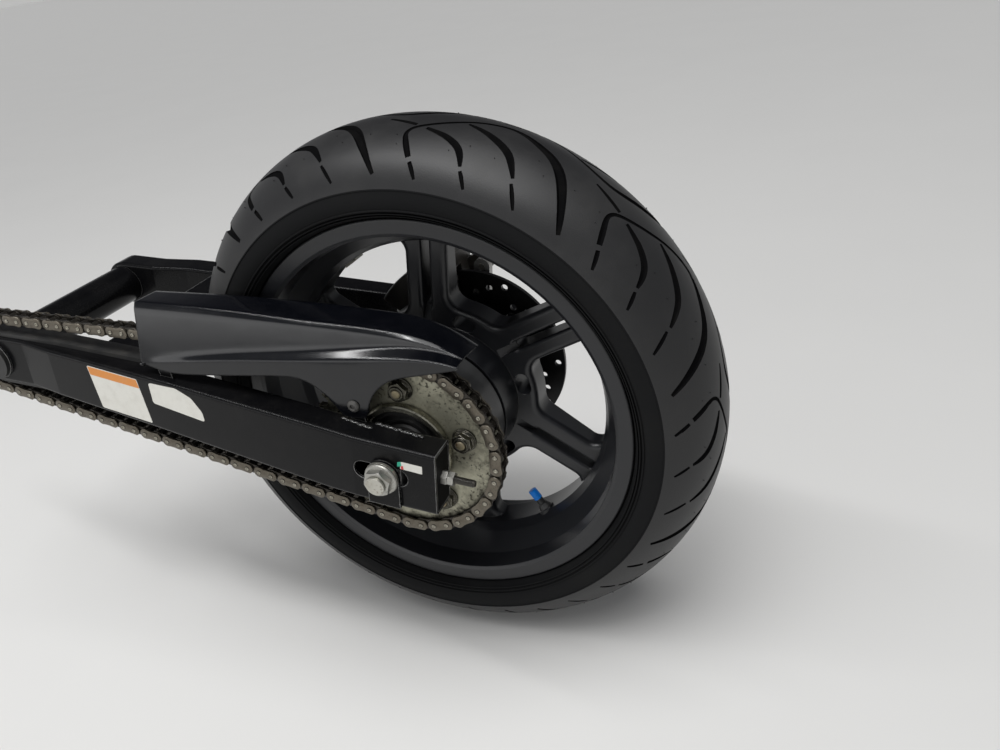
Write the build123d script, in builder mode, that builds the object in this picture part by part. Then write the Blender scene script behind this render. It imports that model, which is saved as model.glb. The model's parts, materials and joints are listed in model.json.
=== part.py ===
from build123d import *
import os
from math import asin, cos, degrees, hypot, pi, radians, sin, tan

# Rear wheel and swingarm assembly of a sport touring motorcycle, in millimetres.
# The origin is the centre of the swingarm's pivot. X points rearward, Y to the machine's right, Z up.

# Swingarm layout
swingarm_length = 553.0
droop_angle = 8.4
arm_centre_y = 155.5
arm_width = 35.0
arm_wall = 3.0
arm_rear_x = 56.0
arm_sections = [
    # along the arm from the axle, height over the line from pivot to axle, depth below it, shift inward
    (arm_rear_x, 35.0, 37.3, 0.0),
    (-35.0, 36.5, 38.2, 0.0),
    (-70.0, 37.4, 38.5, 2.6),
    (-300.0, 38.0, 30.0, 19.9),
    (-450.0, 36.0, 26.5, 31.2),
]
arm_front_x = -500.0
arm_front_height = 33.6
arm_front_depth = 28.7
arm_eye_r = 31.0
arm_edge_fillet = 4.5
pivot_tube_r = 26.0
pivot_tube_wall = 5.0
pivot_tube_width = 270.0
pivot_tube_proud = 2.0
pivot_collar_proud = 6.0
pivot_bearing_width = 28.0
pivot_bolt_r = 8.5
pivot_collar_wall = 3.5
weld_gap = 0.1
slider_thickness = 5.0
slider_rear_x = -300.0
slider_width = 22.0
cross_x = -378.0
cross_length = 56.0
cross_height = 56.0
cross_rise = 4.0
cross_wall = 3.0
cross_half_span = 122.0
lug_half_spacing = 20.0
lug_thickness = 7.0
lug_bolt_r = 5.1
lug_drop = 34.0
lug_r = 14.0

# Rear axle and its adjusters
axle_r = 10.0
axle_head_af = 27.0
axle_head_height = 11.0
axle_nut_af = 30.0
axle_nut_height = 11.0
axle_washer_r = 18.0
axle_washer_thickness = 3.0
axle_thread_proud = 3.0
slot_front = 34.0
slot_rear = 26.0
index_plate_width = 35.0
index_plate_thickness = 4.0
index_plate_drop = 36.0
adjuster_stud_r = 4.0
adjuster_stud_length = 74.0
adjuster_nut_af = 13.0
adjuster_nut_height = 6.5
adjuster_nut_gap = 0.3
end_plate_thickness = 3.0
adjuster_clearance = 0.5
block_length = 34.0
block_height = 54.0
block_clearance = 0.3
running_clearance = 0.05

# Tyre and rim
tyre_outer_r = 312.4
tread_half_width = 78.2
tread_edge_r = 261.5
section_half_width = 80.0
section_r = 250.0
tyre_wall = 9.0
bead_seat_r = 215.9
flange_r = 228.6
flange_inner_y = 63.5
flange_outer_y = 68.0
lip_r = 209.4
well_r = 197.0
barrel_wall = 6.0
bead_clearance = 0.3
ring_r = 185.0
ring_left_y = -10.0
ring_right_y = 24.0

# Spokes: pairs of beams, set off sideways from the wheel's centre
spoke_count = 6
first_spoke_angle = 83.8
spoke_side_offset = -20.5
beam_width = 20.0
beam_gap = 9.5
beam_hub_left_y = -9.0
beam_hub_right_y = 26.0
beam_rim_left_y = 0.0
beam_rim_right_y = 22.0
beam_hub_r = 72.0
beam_rim_r = 200.0
beam_edge_fillet = 7.5
slot_edge_fillet = 4.5
spider_hub_r = 106.0
spider_sunk = 2.0
spider_margin = 9.0
window_corner_r = 14.0
slot_corner_r = 4.0
hub_corner_r = 18.0
groove_start_r = 80.0
groove_end_y = 6.0

# Tyre valve and balance weight
valve_angle = -58.0
valve_y = -4.0
valve_r = 4.6
valve_pad_r = 10.0
valve_pad_height = 2.0
valve_foot_r = 8.0
valve_foot_height = 6.0
valve_height = 29.0
valve_cap_r = 4.9
valve_cap_height = 13.0
valve_cap_chamfer = 1.2
weight_length = 18.0
weight_width = 16.0
weight_height = 3.0
weight_sag = 0.6

# Hub, sprocket carrier and brake disc
hub_r = 84.0
hub_left_y = -46.0
hub_cup_r = 77.0
hub_floor_y = -14.0
hub_web_r = 88.0
hub_web_left_y = -4.0
hub_web_right_y = 18.0
hub_core_r = 46.0
hub_right_y = 82.0
disc_seat_r = 62.0
disc_seat_thickness = 12.0
pocket_r = 8.0
pocket_length = 26.0
pocket_circle_r = 93.0
pocket_turn = -14.3
bearing_r = 26.0
bearing_width = 15.0
seal_width = 5.0
seal_inner_r = 16.3
spacer_r = 16.0
hub_bore_r = 20.0
carrier_r = 82.5
carrier_left_y = -113.4
carrier_shoulder_y = -49.0
carrier_spigot_y = -20.0
carrier_boss_r = 52.0
carrier_boss_y = -128.0
carrier_boss_wall = 6.0
carrier_recess_y = -116.0
stud_count = 5
stud_circle_r = 70.0
first_stud_angle = 11.75
stud_r = 5.0
stud_nut_af = 17.0
stud_nut_height = 7.0
stud_washer_r = 11.0
stud_washer_thickness = 2.0
stud_proud = 1.2
disc_r = 112.0
disc_thickness = 5.0
disc_band_inner_r = 80.0
disc_inner_r = 46.0
disc_hole_r = 4.0
disc_row_count = 11
disc_first_angle = 82.8
disc_row_step = -10.2
disc_bolt_count = 5
disc_bolt_circle_r = 54.0
disc_bolt_r = 4.0
disc_bolt_head_r = 7.0
disc_bolt_head_height = 4.0

# Chain drive
chain_pitch = 15.875
chain_links = 110
rear_teeth = 40
front_teeth = 16
roller_r = 5.08
tooth_clearance = 0.2
sprocket_thickness = 7.2
sprocket_bore_clearance = 0.05
chain_line_y = -117.0
plate_inner = 4.3
plate_outer = 10.8
plate_half_height = 7.4
plate_waist = 5.6
drive_line_angle = 8.6
first_gap_angle = -99.6
front_shaft_r = 11.0

# Brake caliper
caliper_angle = 118.0
caliper_half_angle = 24.0
caliper_inner_r = 82.0
caliper_bridge_r = 118.0
caliper_outer_r = 134.0
pad_thickness = 5.5
pad_clearance = 0.3
caliper_left_wall = 14.0
caliper_right_wall = 30.0
bracket_right_y = 108.0
bracket_thickness = 10.0
bracket_ear_angle = 36.0
bracket_ear_r = 112.0
bracket_boss_r = 25.0
bracket_arm_width = 20.0
bracket_web_share = 0.62
anchor_angle = 183.0
anchor_arm_width = 24.0
anchor_slot_length = 30.0
anchor_rib_height = 10.0
anchor_rib_length = 20.0
anchor_clearance = 0.2
guide_pin_r = 4.0
guide_pin_head_r = 6.5
guide_pin_head_height = 6.0
piston_r = 19.0
piston_proud = 10.0
caliper_ear_r = 9.0
caliper_ear_thickness = 10.0
caliper_ear_gap = 4.0
caliper_ear_share = 0.8
caliper_fillet = 4.0
pad_backset = 1.0
pad_top_gap = 6.0
pad_end_angle = 4.0
hose_port_angle = 134.0
hose_port_radius = 124.0
hose_boss_r = 8.0
hose_boss_height = 7.0
hose_bore_r = 5.0
hose_bore_depth = 12.0
bleed_angle = 103.0
bleed_af = 10.0
bleed_hex_height = 5.0
bleed_tip_r = 3.0
bleed_tip_height = 8.0

# Chain guard
guard_outer_y = -146.0
guard_face_low_y = -138.0
guard_face_top_y = -130.0
guard_ridge_y = -126.0
guard_deck_y = -92.0
guard_wall = 2.5
guard_stations = [
    # behind the axle; heights of the deck's far edge, its ridge, the face's top and foot, the side panel's top
    (-296.0, 158.0, 160.0, 153.0, 101.0, 94.5),
    (-180.0, 154.5, 153.5, 146.5, 110.5, 104.5),
    (-90.0, 149.0, 145.5, 142.5, 116.0, 109.0),
    (-20.0, 143.5, 141.0, 137.0, 121.0, 113.0),
    (25.0, 137.5, 136.0, 128.5, 123.5, 116.0),
    (50.0, 132.0, 130.0, 126.5, 123.5, 116.5),
    (74.0, 116.5, 119.5, 118.5, 117.0, 114.5),
    (87.0, 107.5, 112.0, 112.2, 111.8, 111.0),
]
guard_outline = [
    # behind the axle, height over it: the side panel's lower edge from the front to the rear
    (-300.0, 99.0),
    (-288.0, 93.0),
    (-276.0, 88.5),
    (-262.0, 85.3),
    (-245.0, 84.0),
    (-192.0, 86.0),
    (-111.0, 90.5),
    (-96.0, 90.0),
    (-83.0, 86.0),
    (-70.0, 77.0),
    (-57.0, 60.0),
    (-50.0, 50.0),
    (-50.0, 46.5),
    (-22.0, 46.5),
    (-20.0, 55.0),
    (-14.0, 70.0),
    (-3.0, 83.0),
    (13.0, 93.5),
    (50.0, 101.0),
    (90.0, 109.0),
]
guard_leg_z = 40.0
guard_bolt_x = -35.0
guard_bolt_z = 61.0
guard_bolt_r = 3.0
guard_bolt_head_r = 6.5
guard_bolt_head_height = 3.0
guard_tab_width = 16.0
guard_tab_thickness = 4.0
guard_front_tab_x = -270.0
guard_front_tab_z = 90.0

# Worked out from the sizes above
axle_x = swingarm_length * cos(radians(droop_angle))
axle_z = -swingarm_length * sin(radians(droop_angle))
arm_slope = tan(radians(droop_angle))
arm_outer_y = arm_centre_y + arm_width / 2
arm_inner_y = arm_centre_y - arm_width / 2
rear_pitch_r = chain_pitch / 2 / sin(pi / rear_teeth)
front_pitch_r = chain_pitch / 2 / sin(pi / front_teeth)
spoke_step = 360.0 / spoke_count
disc_left_y = hub_right_y
disc_right_y = disc_left_y + disc_thickness
wheel_axis = Axis((axle_x, 0, axle_z), (0, 1, 0))
wheel_section = Plane(origin=(axle_x, 0, axle_z), x_dir=(0, 1, 0), z_dir=(1, 0, 0))

os.makedirs("parts", exist_ok=True)


def wheel_plane(y):
    # A plane square to the axle, seen from the left: x rearward and z up from the axle's centre.
    return Plane(origin=(axle_x, y, axle_z), x_dir=(1, 0, 0), z_dir=(0, -1, 0))


def pivot_plane(y):
    # The same plane, measured from the swingarm's pivot.
    return Plane(origin=(0, y, 0), x_dir=(1, 0, 0), z_dir=(0, -1, 0))


def polar(radius, angle):
    return (radius * cos(radians(angle)), radius * sin(radians(angle)))


def valve_plane(radius):
    # A plane square to the valve, at a distance from the axle. Its z axis points to the axle.
    out = (cos(radians(valve_angle)), 0, sin(radians(valve_angle)))
    centre = (axle_x + out[0] * radius, valve_y, axle_z + out[2] * radius)
    return Plane(origin=centre, x_dir=(0, 1, 0), z_dir=(-out[0], 0, -out[2]))


def ring(outer_r, inner_r, right_y, left_y, plane_at=wheel_plane):
    # A plain ring or disc about the axle, or about the pivot, from right_y leftward to left_y.
    with BuildPart() as ring_part:
        with BuildSketch(plane_at(right_y)):
            Circle(outer_r)
            if inner_r > 0:
                Circle(inner_r, mode=Mode.SUBTRACT)
        extrude(amount=right_y - left_y)
    return ring_part.part


def hex_prism(across_flats, right_y, left_y, plane_at=wheel_plane):
    with BuildPart() as hex_part:
        with BuildSketch(plane_at(right_y)):
            RegularPolygon(radius=across_flats / 2, side_count=6, major_radius=False)
        extrude(amount=right_y - left_y)
    return hex_part.part


def save(builder, name):
    builder.part.label = name
    export_step(builder.part, f"parts/{name}.step")


# Tyre: a hollow carcass with a round crown and beads that stand on the rim's seats
bead_y = flange_inner_y - bead_clearance
bead_r = bead_seat_r + bead_clearance
inner_half_width = tread_half_width - tyre_wall
tyre_side = [
    # across from the wheel's centre, radius: from the bulge in to the bead and back along the inside
    (section_half_width - 7, flange_r + 5),
    (flange_outer_y + 0.5, flange_r + 1.6),
    (bead_y, flange_r + 0.6),
    (bead_y, bead_r + 2),
    (bead_y - 2, bead_r),
    (bead_y - 13, bead_r),
    (bead_y - 12, bead_r + 9),
    (inner_half_width, section_r),
    (inner_half_width - 9, section_r + 26),
    (inner_half_width / 2, tyre_outer_r - tyre_wall - 10),
]
with BuildPart() as tyre:
    with BuildSketch(wheel_section):
        with BuildLine():
            ThreePointArc((-tread_half_width, tread_edge_r), (0, tyre_outer_r), (tread_half_width, tread_edge_r))
            for side in (-1, 1):
                edge = (side * tread_half_width, tread_edge_r)
                lower = (side * tyre_side[0][0], tyre_side[0][1])
                ThreePointArc(edge, (side * section_half_width, section_r), lower)
            Polyline(
                *[(y, r) for y, r in tyre_side],
                (0, tyre_outer_r - tyre_wall - 2),
                *[(-y, r) for y, r in reversed(tyre_side)],
            )
        make_face()
    revolve(axis=wheel_axis)
save(tyre, "tyre")

def beam_place(spoke, along, shift):
    # A point in the wheel's plane: along a spoke from the axle, and across it. Also the spoke's angle.
    angle = first_spoke_angle - spoke * spoke_step
    return Vector(*polar(along, angle)) + Vector(*polar(spoke_side_offset + shift, angle - 90)), angle


def beam_corners(outline, radius, reach):
    # Where a circle meets the beams' sides that lie at this reach from their pair's centre line.
    places = []
    for spoke in range(spoke_count):
        for side in (-1, 1):
            across = spoke_side_offset + side * reach
            along = (radius**2 - across**2) ** 0.5
            places.append(beam_place(spoke, along, side * reach)[0])
    return [
        corner
        for corner in outline.vertices()
        if min((Vector(corner.X, corner.Y) - place).length for place in places) < 0.1
    ]


# Spider of the wheel: six pairs of beams between the hub and the middle ring, with rounded edges.
# The cones that bound it are turned from a section inside the first beam, clear of every opening.
flank_reach = beam_gap / 2 + beam_width
spider_ring_r = ring_r + spider_sunk
corner_fillets = [
    # circle, reach of the beam's side, fillet
    (spider_ring_r, flank_reach, window_corner_r),
    (spider_ring_r, beam_gap / 2, slot_corner_r),
    (spider_hub_r, flank_reach, hub_corner_r),
    (spider_hub_r, beam_gap / 2, slot_corner_r),
]
seam_angle = radians(first_spoke_angle + 2)
seam_section = Plane(origin=(axle_x, 0, axle_z), x_dir=(0, 1, 0), z_dir=(sin(seam_angle), 0, -cos(seam_angle)))
with BuildPart() as wheel_spider:
    with BuildSketch(wheel_plane(beam_hub_right_y)) as outline:
        Circle(spider_ring_r + spider_margin)
        Circle(spider_ring_r, mode=Mode.SUBTRACT)
        Circle(spider_hub_r)
        for spoke in range(spoke_count):
            for side in (-1, 1):
                centre, angle = beam_place(spoke, spider_ring_r / 2, side * (beam_width + beam_gap) / 2)
                with Locations(Location((centre.X, centre.Y, 0), (0, 0, angle))):
                    Rectangle(spider_ring_r + 1, beam_width)
        for radius, reach, corner_r in corner_fillets:
            fillet(beam_corners(outline, radius, reach), corner_r)
    extrude(amount=beam_hub_right_y - beam_hub_left_y + spider_margin)
    with BuildSketch(seam_section):
        with BuildLine():
            Polyline(
                (beam_hub_left_y, 0),
                (beam_hub_left_y, beam_hub_r),
                (beam_rim_left_y, beam_rim_r),
                (beam_rim_right_y, beam_rim_r),
                (beam_hub_right_y, beam_hub_r),
                (beam_hub_right_y, 0),
                close=True,
            )
        make_face()
    revolve(axis=wheel_axis, mode=Mode.INTERSECT)
    longest_slot = 2 * (spider_ring_r - spider_hub_r) + 4 * beam_gap
    for openings, edge_r in (("windows", beam_edge_fillet), ("slots", slot_edge_fillet)):
        front = wheel_spider.faces().filter_by(GeomType.CONE).sort_by(Axis.Y)[0]
        loops = [
            loop for loop in front.inner_wires() if (loop.length > longest_slot) == (openings == "windows")
        ]
        fillet([edge for loop in loops for edge in loop.edges()], edge_r)
    # A groove that slopes down from the hub's face into the slot between two beams
    for spoke in range(spoke_count):
        start, angle = beam_place(spoke, 0, 0)
        out = (cos(radians(angle)), 0, sin(radians(angle)))
        across = (sin(radians(angle)), 0, -cos(radians(angle)))
        with BuildSketch(Plane(origin=(axle_x + start.X, 0, axle_z + start.Y), x_dir=out, z_dir=across)):
            with BuildLine():
                Polyline(
                    (groove_start_r, 1 - beam_hub_left_y),
                    (spider_hub_r + 2, -groove_end_y),
                    (spider_hub_r + 2, 1 - 2 * beam_hub_left_y),
                    (groove_start_r, 1 - 2 * beam_hub_left_y),
                    close=True,
                )
            make_face()
        extrude(amount=beam_gap / 2, both=True, mode=Mode.SUBTRACT)

# Cast wheel: rim, spider and a hub with a cup for the drive dampers
with BuildPart() as wheel_casting:
    barrel_inner_r = well_r - barrel_wall
    with BuildSketch(wheel_section):
        with BuildLine():
            rim_points = [(0, well_r)]
            rim_half = [
                (28, well_r),
                (38, bead_seat_r - 3),
                (flange_inner_y, bead_seat_r),
                (flange_inner_y, flange_r - 2),
                (flange_inner_y + 1.5, flange_r),
                (flange_outer_y - 0.5, flange_r),
                (flange_outer_y + 0.3, flange_r - 1.5),
                (flange_outer_y, lip_r + 4),
                (flange_outer_y - 2.4, lip_r),
                (44, lip_r - 3),
            ]
            right_side = rim_half + [(ring_right_y + 2, barrel_inner_r), (ring_right_y, ring_r)]
            left_side = rim_half + [(-ring_left_y + 12, barrel_inner_r), (-ring_left_y, ring_r)]
            Polyline(
                (0, well_r),
                *right_side,
                *[(-y, r) for y, r in reversed(left_side)],
                (0, well_r),
            )
        make_face()
    revolve(axis=wheel_axis)
    # Hub, turned about the axle
    with BuildSketch(wheel_section):
        with BuildLine():
            Polyline(
                (hub_left_y, hub_cup_r),
                (hub_left_y, hub_r),
                (hub_web_left_y - 4, hub_r),
                (hub_web_left_y, hub_web_r),
                (hub_web_right_y, hub_web_r),
                (hub_web_right_y + 10, hub_core_r + 8),
                (hub_right_y - disc_seat_thickness - 6, hub_core_r),
                (hub_right_y - disc_seat_thickness, disc_seat_r),
                (hub_right_y, disc_seat_r),
                (hub_right_y, bearing_r),
                (hub_right_y - bearing_width - seal_width, bearing_r),
                (hub_right_y - bearing_width - seal_width, hub_bore_r),
                (hub_floor_y + bearing_width, hub_bore_r),
                (hub_floor_y + bearing_width, bearing_r),
                (hub_floor_y, bearing_r),
                (hub_floor_y, hub_cup_r),
                (hub_left_y, hub_cup_r),
            )
        make_face()
    revolve(axis=wheel_axis)
    add(wheel_spider.part)
    # Pad for the valve's foot
    with BuildSketch(valve_plane(ring_r + valve_pad_height)):
        Circle(valve_pad_r)
    extrude(amount=2 * valve_pad_height)
    # Cup, bearing seats and bore, cleared again after the beams
    for radius, right_y, left_y in (
        (hub_cup_r, hub_floor_y, hub_left_y - 1),
        (bearing_r, hub_floor_y + bearing_width, hub_left_y - 1),
        (hub_bore_r, hub_right_y + 1, hub_left_y - 1),
    ):
        with BuildSketch(wheel_plane(right_y)):
            Circle(radius)
        extrude(amount=right_y - left_y, mode=Mode.SUBTRACT)
    # Oval pockets through the web, halfway between the pairs of beams
    with BuildSketch(wheel_plane(hub_web_right_y + 10)):
        for spoke in range(spoke_count):
            angle = first_spoke_angle + pocket_turn - spoke * spoke_step
            with Locations(polar(pocket_circle_r, angle)):
                SlotOverall(pocket_length, 2 * pocket_r, rotation=angle + 90)
    extrude(amount=hub_web_right_y - hub_web_left_y + 20, mode=Mode.SUBTRACT)
    # Holes for the disc's bolts
    with BuildSketch(wheel_plane(hub_right_y + 1)):
        with PolarLocations(disc_bolt_circle_r, disc_bolt_count):
            Circle(disc_bolt_r)
    extrude(amount=disc_seat_thickness, mode=Mode.SUBTRACT)
save(wheel_casting, "wheel_casting")

# Tyre valve, standing inward from the rim's middle ring
with BuildPart() as tyre_valve:
    with BuildSketch(valve_plane(ring_r - valve_pad_height)):
        Circle(valve_foot_r)
    extrude(amount=valve_foot_height, taper=20)
    with BuildSketch(valve_plane(ring_r - valve_foot_height)):
        Circle(valve_r)
    extrude(amount=valve_height - valve_foot_height - valve_cap_height)
save(tyre_valve, "tyre_valve")

with BuildPart() as valve_cap:
    with BuildSketch(valve_plane(ring_r - valve_height + valve_cap_height)):
        Circle(valve_cap_r)
    extrude(amount=valve_cap_height)
    chamfer(valve_cap.edges().group_by(Axis((0, 0, 0), valve_plane(0).z_dir))[-1], valve_cap_chamfer)
save(valve_cap, "valve_cap")

# Balance weight, opposite the valve
with BuildPart() as balance_weight:
    with BuildSketch(wheel_plane((ring_left_y + ring_right_y + weight_width) / 2)):
        with Locations(Rotation(0, 0, valve_angle + 180)):
            with Locations((ring_r - weight_height / 2 - weight_sag, 0)):
                Rectangle(weight_height, weight_length)
    extrude(amount=weight_width)
save(balance_weight, "balance_weight")

# Bearings and seals between the wheel and the axle
carrier_bearing_y = carrier_recess_y + seal_width + bearing_width
seats = [
    # left face, right face of each bearing
    (hub_right_y - seal_width - bearing_width, hub_right_y - seal_width),
    (hub_floor_y, hub_floor_y + bearing_width),
    (carrier_recess_y + seal_width, carrier_bearing_y),
]
with BuildPart() as wheel_bearings:
    for left_y, right_y in seats:
        add(ring(bearing_r, axle_r + running_clearance, right_y, left_y))
save(wheel_bearings, "wheel_bearings")

with BuildPart() as hub_seals:
    for left_y, right_y in (
        (hub_right_y - seal_width, hub_right_y),
        (carrier_recess_y, carrier_recess_y + seal_width),
    ):
        add(ring(bearing_r, seal_inner_r, right_y, left_y))
save(hub_seals, "hub_seals")

# Sprocket carrier: the drum that holds the drive dampers, with the sprocket's seat on its left
with BuildPart() as sprocket_carrier:
    with BuildSketch(wheel_section):
        with BuildLine():
            Polyline(
                (carrier_spigot_y, hub_bore_r),
                (carrier_spigot_y, hub_cup_r - 0.5),
                (carrier_shoulder_y, hub_cup_r - 0.5),
                (carrier_shoulder_y, carrier_r),
                (carrier_left_y, carrier_r),
                (carrier_left_y, carrier_boss_r),
                (carrier_boss_y + 1, carrier_boss_r),
                (carrier_boss_y, carrier_boss_r - 1),
                (carrier_boss_y, carrier_boss_r - carrier_boss_wall),
                (carrier_recess_y, carrier_boss_r - carrier_boss_wall),
                (carrier_recess_y, bearing_r),
                (carrier_bearing_y, bearing_r),
                (carrier_bearing_y, hub_bore_r),
                (carrier_spigot_y, hub_bore_r),
            )
        make_face()
    revolve(axis=wheel_axis)
save(sprocket_carrier, "sprocket_carrier")


def sprocket(teeth, pitch_r, bore_r, first_angle, plane_at):
    # A toothed disc whose gaps hold the chain's rollers. Each gap is one arc, each tooth has a flat tip.
    gap_r = roller_r + tooth_clearance
    tip_r = chain_pitch / 2 * (0.6 + 1 / tan(pi / teeth))
    half_pitch = 180.0 / teeth
    tip_half = degrees(1.1 / tip_r)
    right_y = chain_line_y + sprocket_thickness / 2
    with BuildPart() as toothed_disc:
        with BuildSketch(plane_at(right_y)):
            with BuildLine():
                for tooth in range(teeth):
                    angle = first_angle + tooth * 2 * half_pitch
                    centre = Vector(*polar(pitch_r, angle))
                    arc_points = [
                        centre + Vector(*polar(gap_r, angle + 180 + turn)) for turn in (60, 0, -60)
                    ]
                    ThreePointArc(*arc_points)
                    tip_start = Vector(*polar(tip_r, angle + half_pitch - tip_half))
                    tip_end = Vector(*polar(tip_r, angle + half_pitch + tip_half))
                    next_angle = angle + 2 * half_pitch
                    next_centre = Vector(*polar(pitch_r, next_angle))
                    next_start = next_centre + Vector(*polar(gap_r, next_angle + 240))
                    Polyline(arc_points[2], tip_start, tip_end, next_start)
            make_face()
            Circle(bore_r, mode=Mode.SUBTRACT)
        extrude(amount=sprocket_thickness)
    return toothed_disc.part


def axle_locations(radius, count, first_angle):
    return [polar(radius, first_angle + k * 360 / count) for k in range(count)]


# Rear sprocket on the carrier's boss, held by studs and nuts
sprocket_left_y = chain_line_y - sprocket_thickness / 2
with BuildPart() as rear_sprocket:
    add(
        sprocket(
            rear_teeth, rear_pitch_r, carrier_boss_r + sprocket_bore_clearance, first_gap_angle, wheel_plane
        )
    )
    with BuildSketch(wheel_plane(carrier_left_y)):
        with Locations(*axle_locations(stud_circle_r, stud_count, first_stud_angle)):
            Circle(stud_r + 0.2)
    extrude(amount=20, mode=Mode.SUBTRACT)
save(rear_sprocket, "rear_sprocket")

washer_left_y = sprocket_left_y - stud_washer_thickness
with BuildPart() as sprocket_studs:
    with BuildSketch(wheel_plane(carrier_left_y)):
        with Locations(*axle_locations(stud_circle_r, stud_count, first_stud_angle)):
            Circle(stud_r)
    extrude(amount=carrier_left_y - washer_left_y + stud_nut_height + stud_proud)
save(sprocket_studs, "sprocket_studs")

with BuildPart() as sprocket_nuts:
    with BuildSketch(wheel_plane(sprocket_left_y)):
        with Locations(*axle_locations(stud_circle_r, stud_count, first_stud_angle)):
            Circle(stud_washer_r)
            Circle(stud_r + running_clearance, mode=Mode.SUBTRACT)
    extrude(amount=stud_washer_thickness)
    with BuildSketch(wheel_plane(washer_left_y)):
        with Locations(*axle_locations(stud_circle_r, stud_count, first_stud_angle)):
            RegularPolygon(radius=stud_nut_af / 2, side_count=6, major_radius=False)
            Circle(stud_r + running_clearance, mode=Mode.SUBTRACT)
    extrude(amount=stud_nut_height)
save(sprocket_nuts, "sprocket_nuts")

# Brake disc: a drilled band on a spider of five arms
with BuildPart() as brake_disc:
    with BuildSketch(wheel_plane(disc_right_y)):
        Circle(disc_r)
        Circle(disc_inner_r, mode=Mode.SUBTRACT)
        with PolarLocations((disc_band_inner_r + disc_seat_r) / 2 + 1, disc_bolt_count, start_angle=36):
            SlotOverall(38, disc_band_inner_r - disc_seat_r - 4, rotation=90, mode=Mode.SUBTRACT)
        with PolarLocations(disc_bolt_circle_r, disc_bolt_count):
            Circle(disc_bolt_r + 0.2, mode=Mode.SUBTRACT)
        for row in range(disc_row_count):
            for hole in range(3):
                radius = disc_band_inner_r + 6.5 + hole * 8.3
                angle = disc_first_angle - row * 360 / disc_row_count + hole * disc_row_step
                with Locations(polar(radius, angle)):
                    Circle(disc_hole_r, mode=Mode.SUBTRACT)
    extrude(amount=disc_thickness)
save(brake_disc, "brake_disc")

with BuildPart() as disc_bolts:
    with BuildSketch(wheel_plane(disc_right_y + disc_bolt_head_height)):
        with PolarLocations(disc_bolt_circle_r, disc_bolt_count):
            Circle(disc_bolt_head_r)
    extrude(amount=disc_bolt_head_height)
    with BuildSketch(wheel_plane(disc_right_y)):
        with PolarLocations(disc_bolt_circle_r, disc_bolt_count):
            Circle(disc_bolt_r - running_clearance)
    extrude(amount=disc_thickness + 10)
save(disc_bolts, "disc_bolts")

# Chain: the distance between the sprockets follows from the number of links
radius_step = rear_pitch_r - front_pitch_r
run_angle = 0.0
for _ in range(20):
    arc_pitches = rear_teeth * (180 + 2 * run_angle) / 360 + front_teeth * (180 - 2 * run_angle) / 360
    run_length = (chain_links - arc_pitches) * chain_pitch / 2
    centre_distance = hypot(run_length, radius_step)
    run_angle = degrees(asin(radius_step / centre_distance))
line_angle = 180 - drive_line_angle
upper_normal = line_angle - 90 + run_angle
lower_normal = line_angle + 90 - run_angle - 360
front_shaft = polar(centre_distance, line_angle)
rear_step = 360 / rear_teeth
front_step = 360 / front_teeth
upper_start = (upper_normal - first_gap_angle) / rear_step
front_start = upper_start + run_length / chain_pitch
lower_start = front_start + (lower_normal + 360 - upper_normal) / front_step
rear_start = lower_start + run_length / chain_pitch


def chain_point(pitches):
    # A point on the chain's pitch line and the outward angle there, after so many pitches of chain.
    if pitches <= upper_start:
        angle = first_gap_angle + pitches * rear_step
        return Vector(*polar(rear_pitch_r, angle)), angle
    if pitches <= front_start:
        start = Vector(*polar(rear_pitch_r, upper_normal))
        return start + Vector(*polar((pitches - upper_start) * chain_pitch, upper_normal + 90)), upper_normal
    if pitches <= lower_start:
        angle = upper_normal + (pitches - front_start) * front_step
        return Vector(*front_shaft) + Vector(*polar(front_pitch_r, angle)), angle
    if pitches <= rear_start:
        start = Vector(*front_shaft) + Vector(*polar(front_pitch_r, lower_normal))
        return start + Vector(*polar((pitches - lower_start) * chain_pitch, lower_normal + 90)), lower_normal
    angle = first_gap_angle - (chain_links - pitches) * rear_step
    return Vector(*polar(rear_pitch_r, angle)), angle


def chain_edge(direction):
    # The plates' outer or inner edge: widest at each pin, narrower halfway along each link.
    # Round the sprockets the inner edge runs straight from pin to pin.
    edge_points = []
    for half_link in range(2 * chain_links):
        pitches = half_link / 2
        on_run = upper_start < pitches < front_start or lower_start < pitches < rear_start
        at_pin = half_link % 2 == 0
        if at_pin or on_run or direction > 0:
            point, angle = chain_point(pitches)
            reach = plate_half_height if at_pin else plate_waist
            edge_points.append(point + Vector(*polar(direction * reach, angle)))
    return edge_points


with BuildPart() as drive_chain:
    for right_y in (chain_line_y + plate_outer, chain_line_y - plate_inner):
        with BuildSketch(wheel_plane(right_y)):
            with BuildLine():
                Polyline(*chain_edge(1), close=True)
            make_face()
            with BuildLine():
                Polyline(*chain_edge(-1), close=True)
            make_face(mode=Mode.SUBTRACT)
        extrude(amount=plate_outer - plate_inner)
    with BuildSketch(wheel_plane(chain_line_y + plate_inner)):
        for link in range(chain_links):
            point, angle = chain_point(link)
            with Locations(Location((point.X, point.Y, 0), (0, 0, angle))):
                RegularPolygon(radius=roller_r - running_clearance, side_count=5)
    extrude(amount=2 * plate_inner)
save(drive_chain, "drive_chain")


def front_plane(y):
    return Plane(
        origin=(axle_x + front_shaft[0], y, axle_z + front_shaft[1]), x_dir=(1, 0, 0), z_dir=(0, -1, 0)
    )


first_front_pin = int(front_start) + 1
front_gap_angle = upper_normal + (first_front_pin - front_start) * front_step
with BuildPart() as front_sprocket:
    add(sprocket(front_teeth, front_pitch_r, front_shaft_r, front_gap_angle, front_plane))
    add(ring(front_shaft_r + 8, front_shaft_r, chain_line_y + 9, chain_line_y + 3, front_plane))
save(front_sprocket, "front_sprocket")


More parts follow.
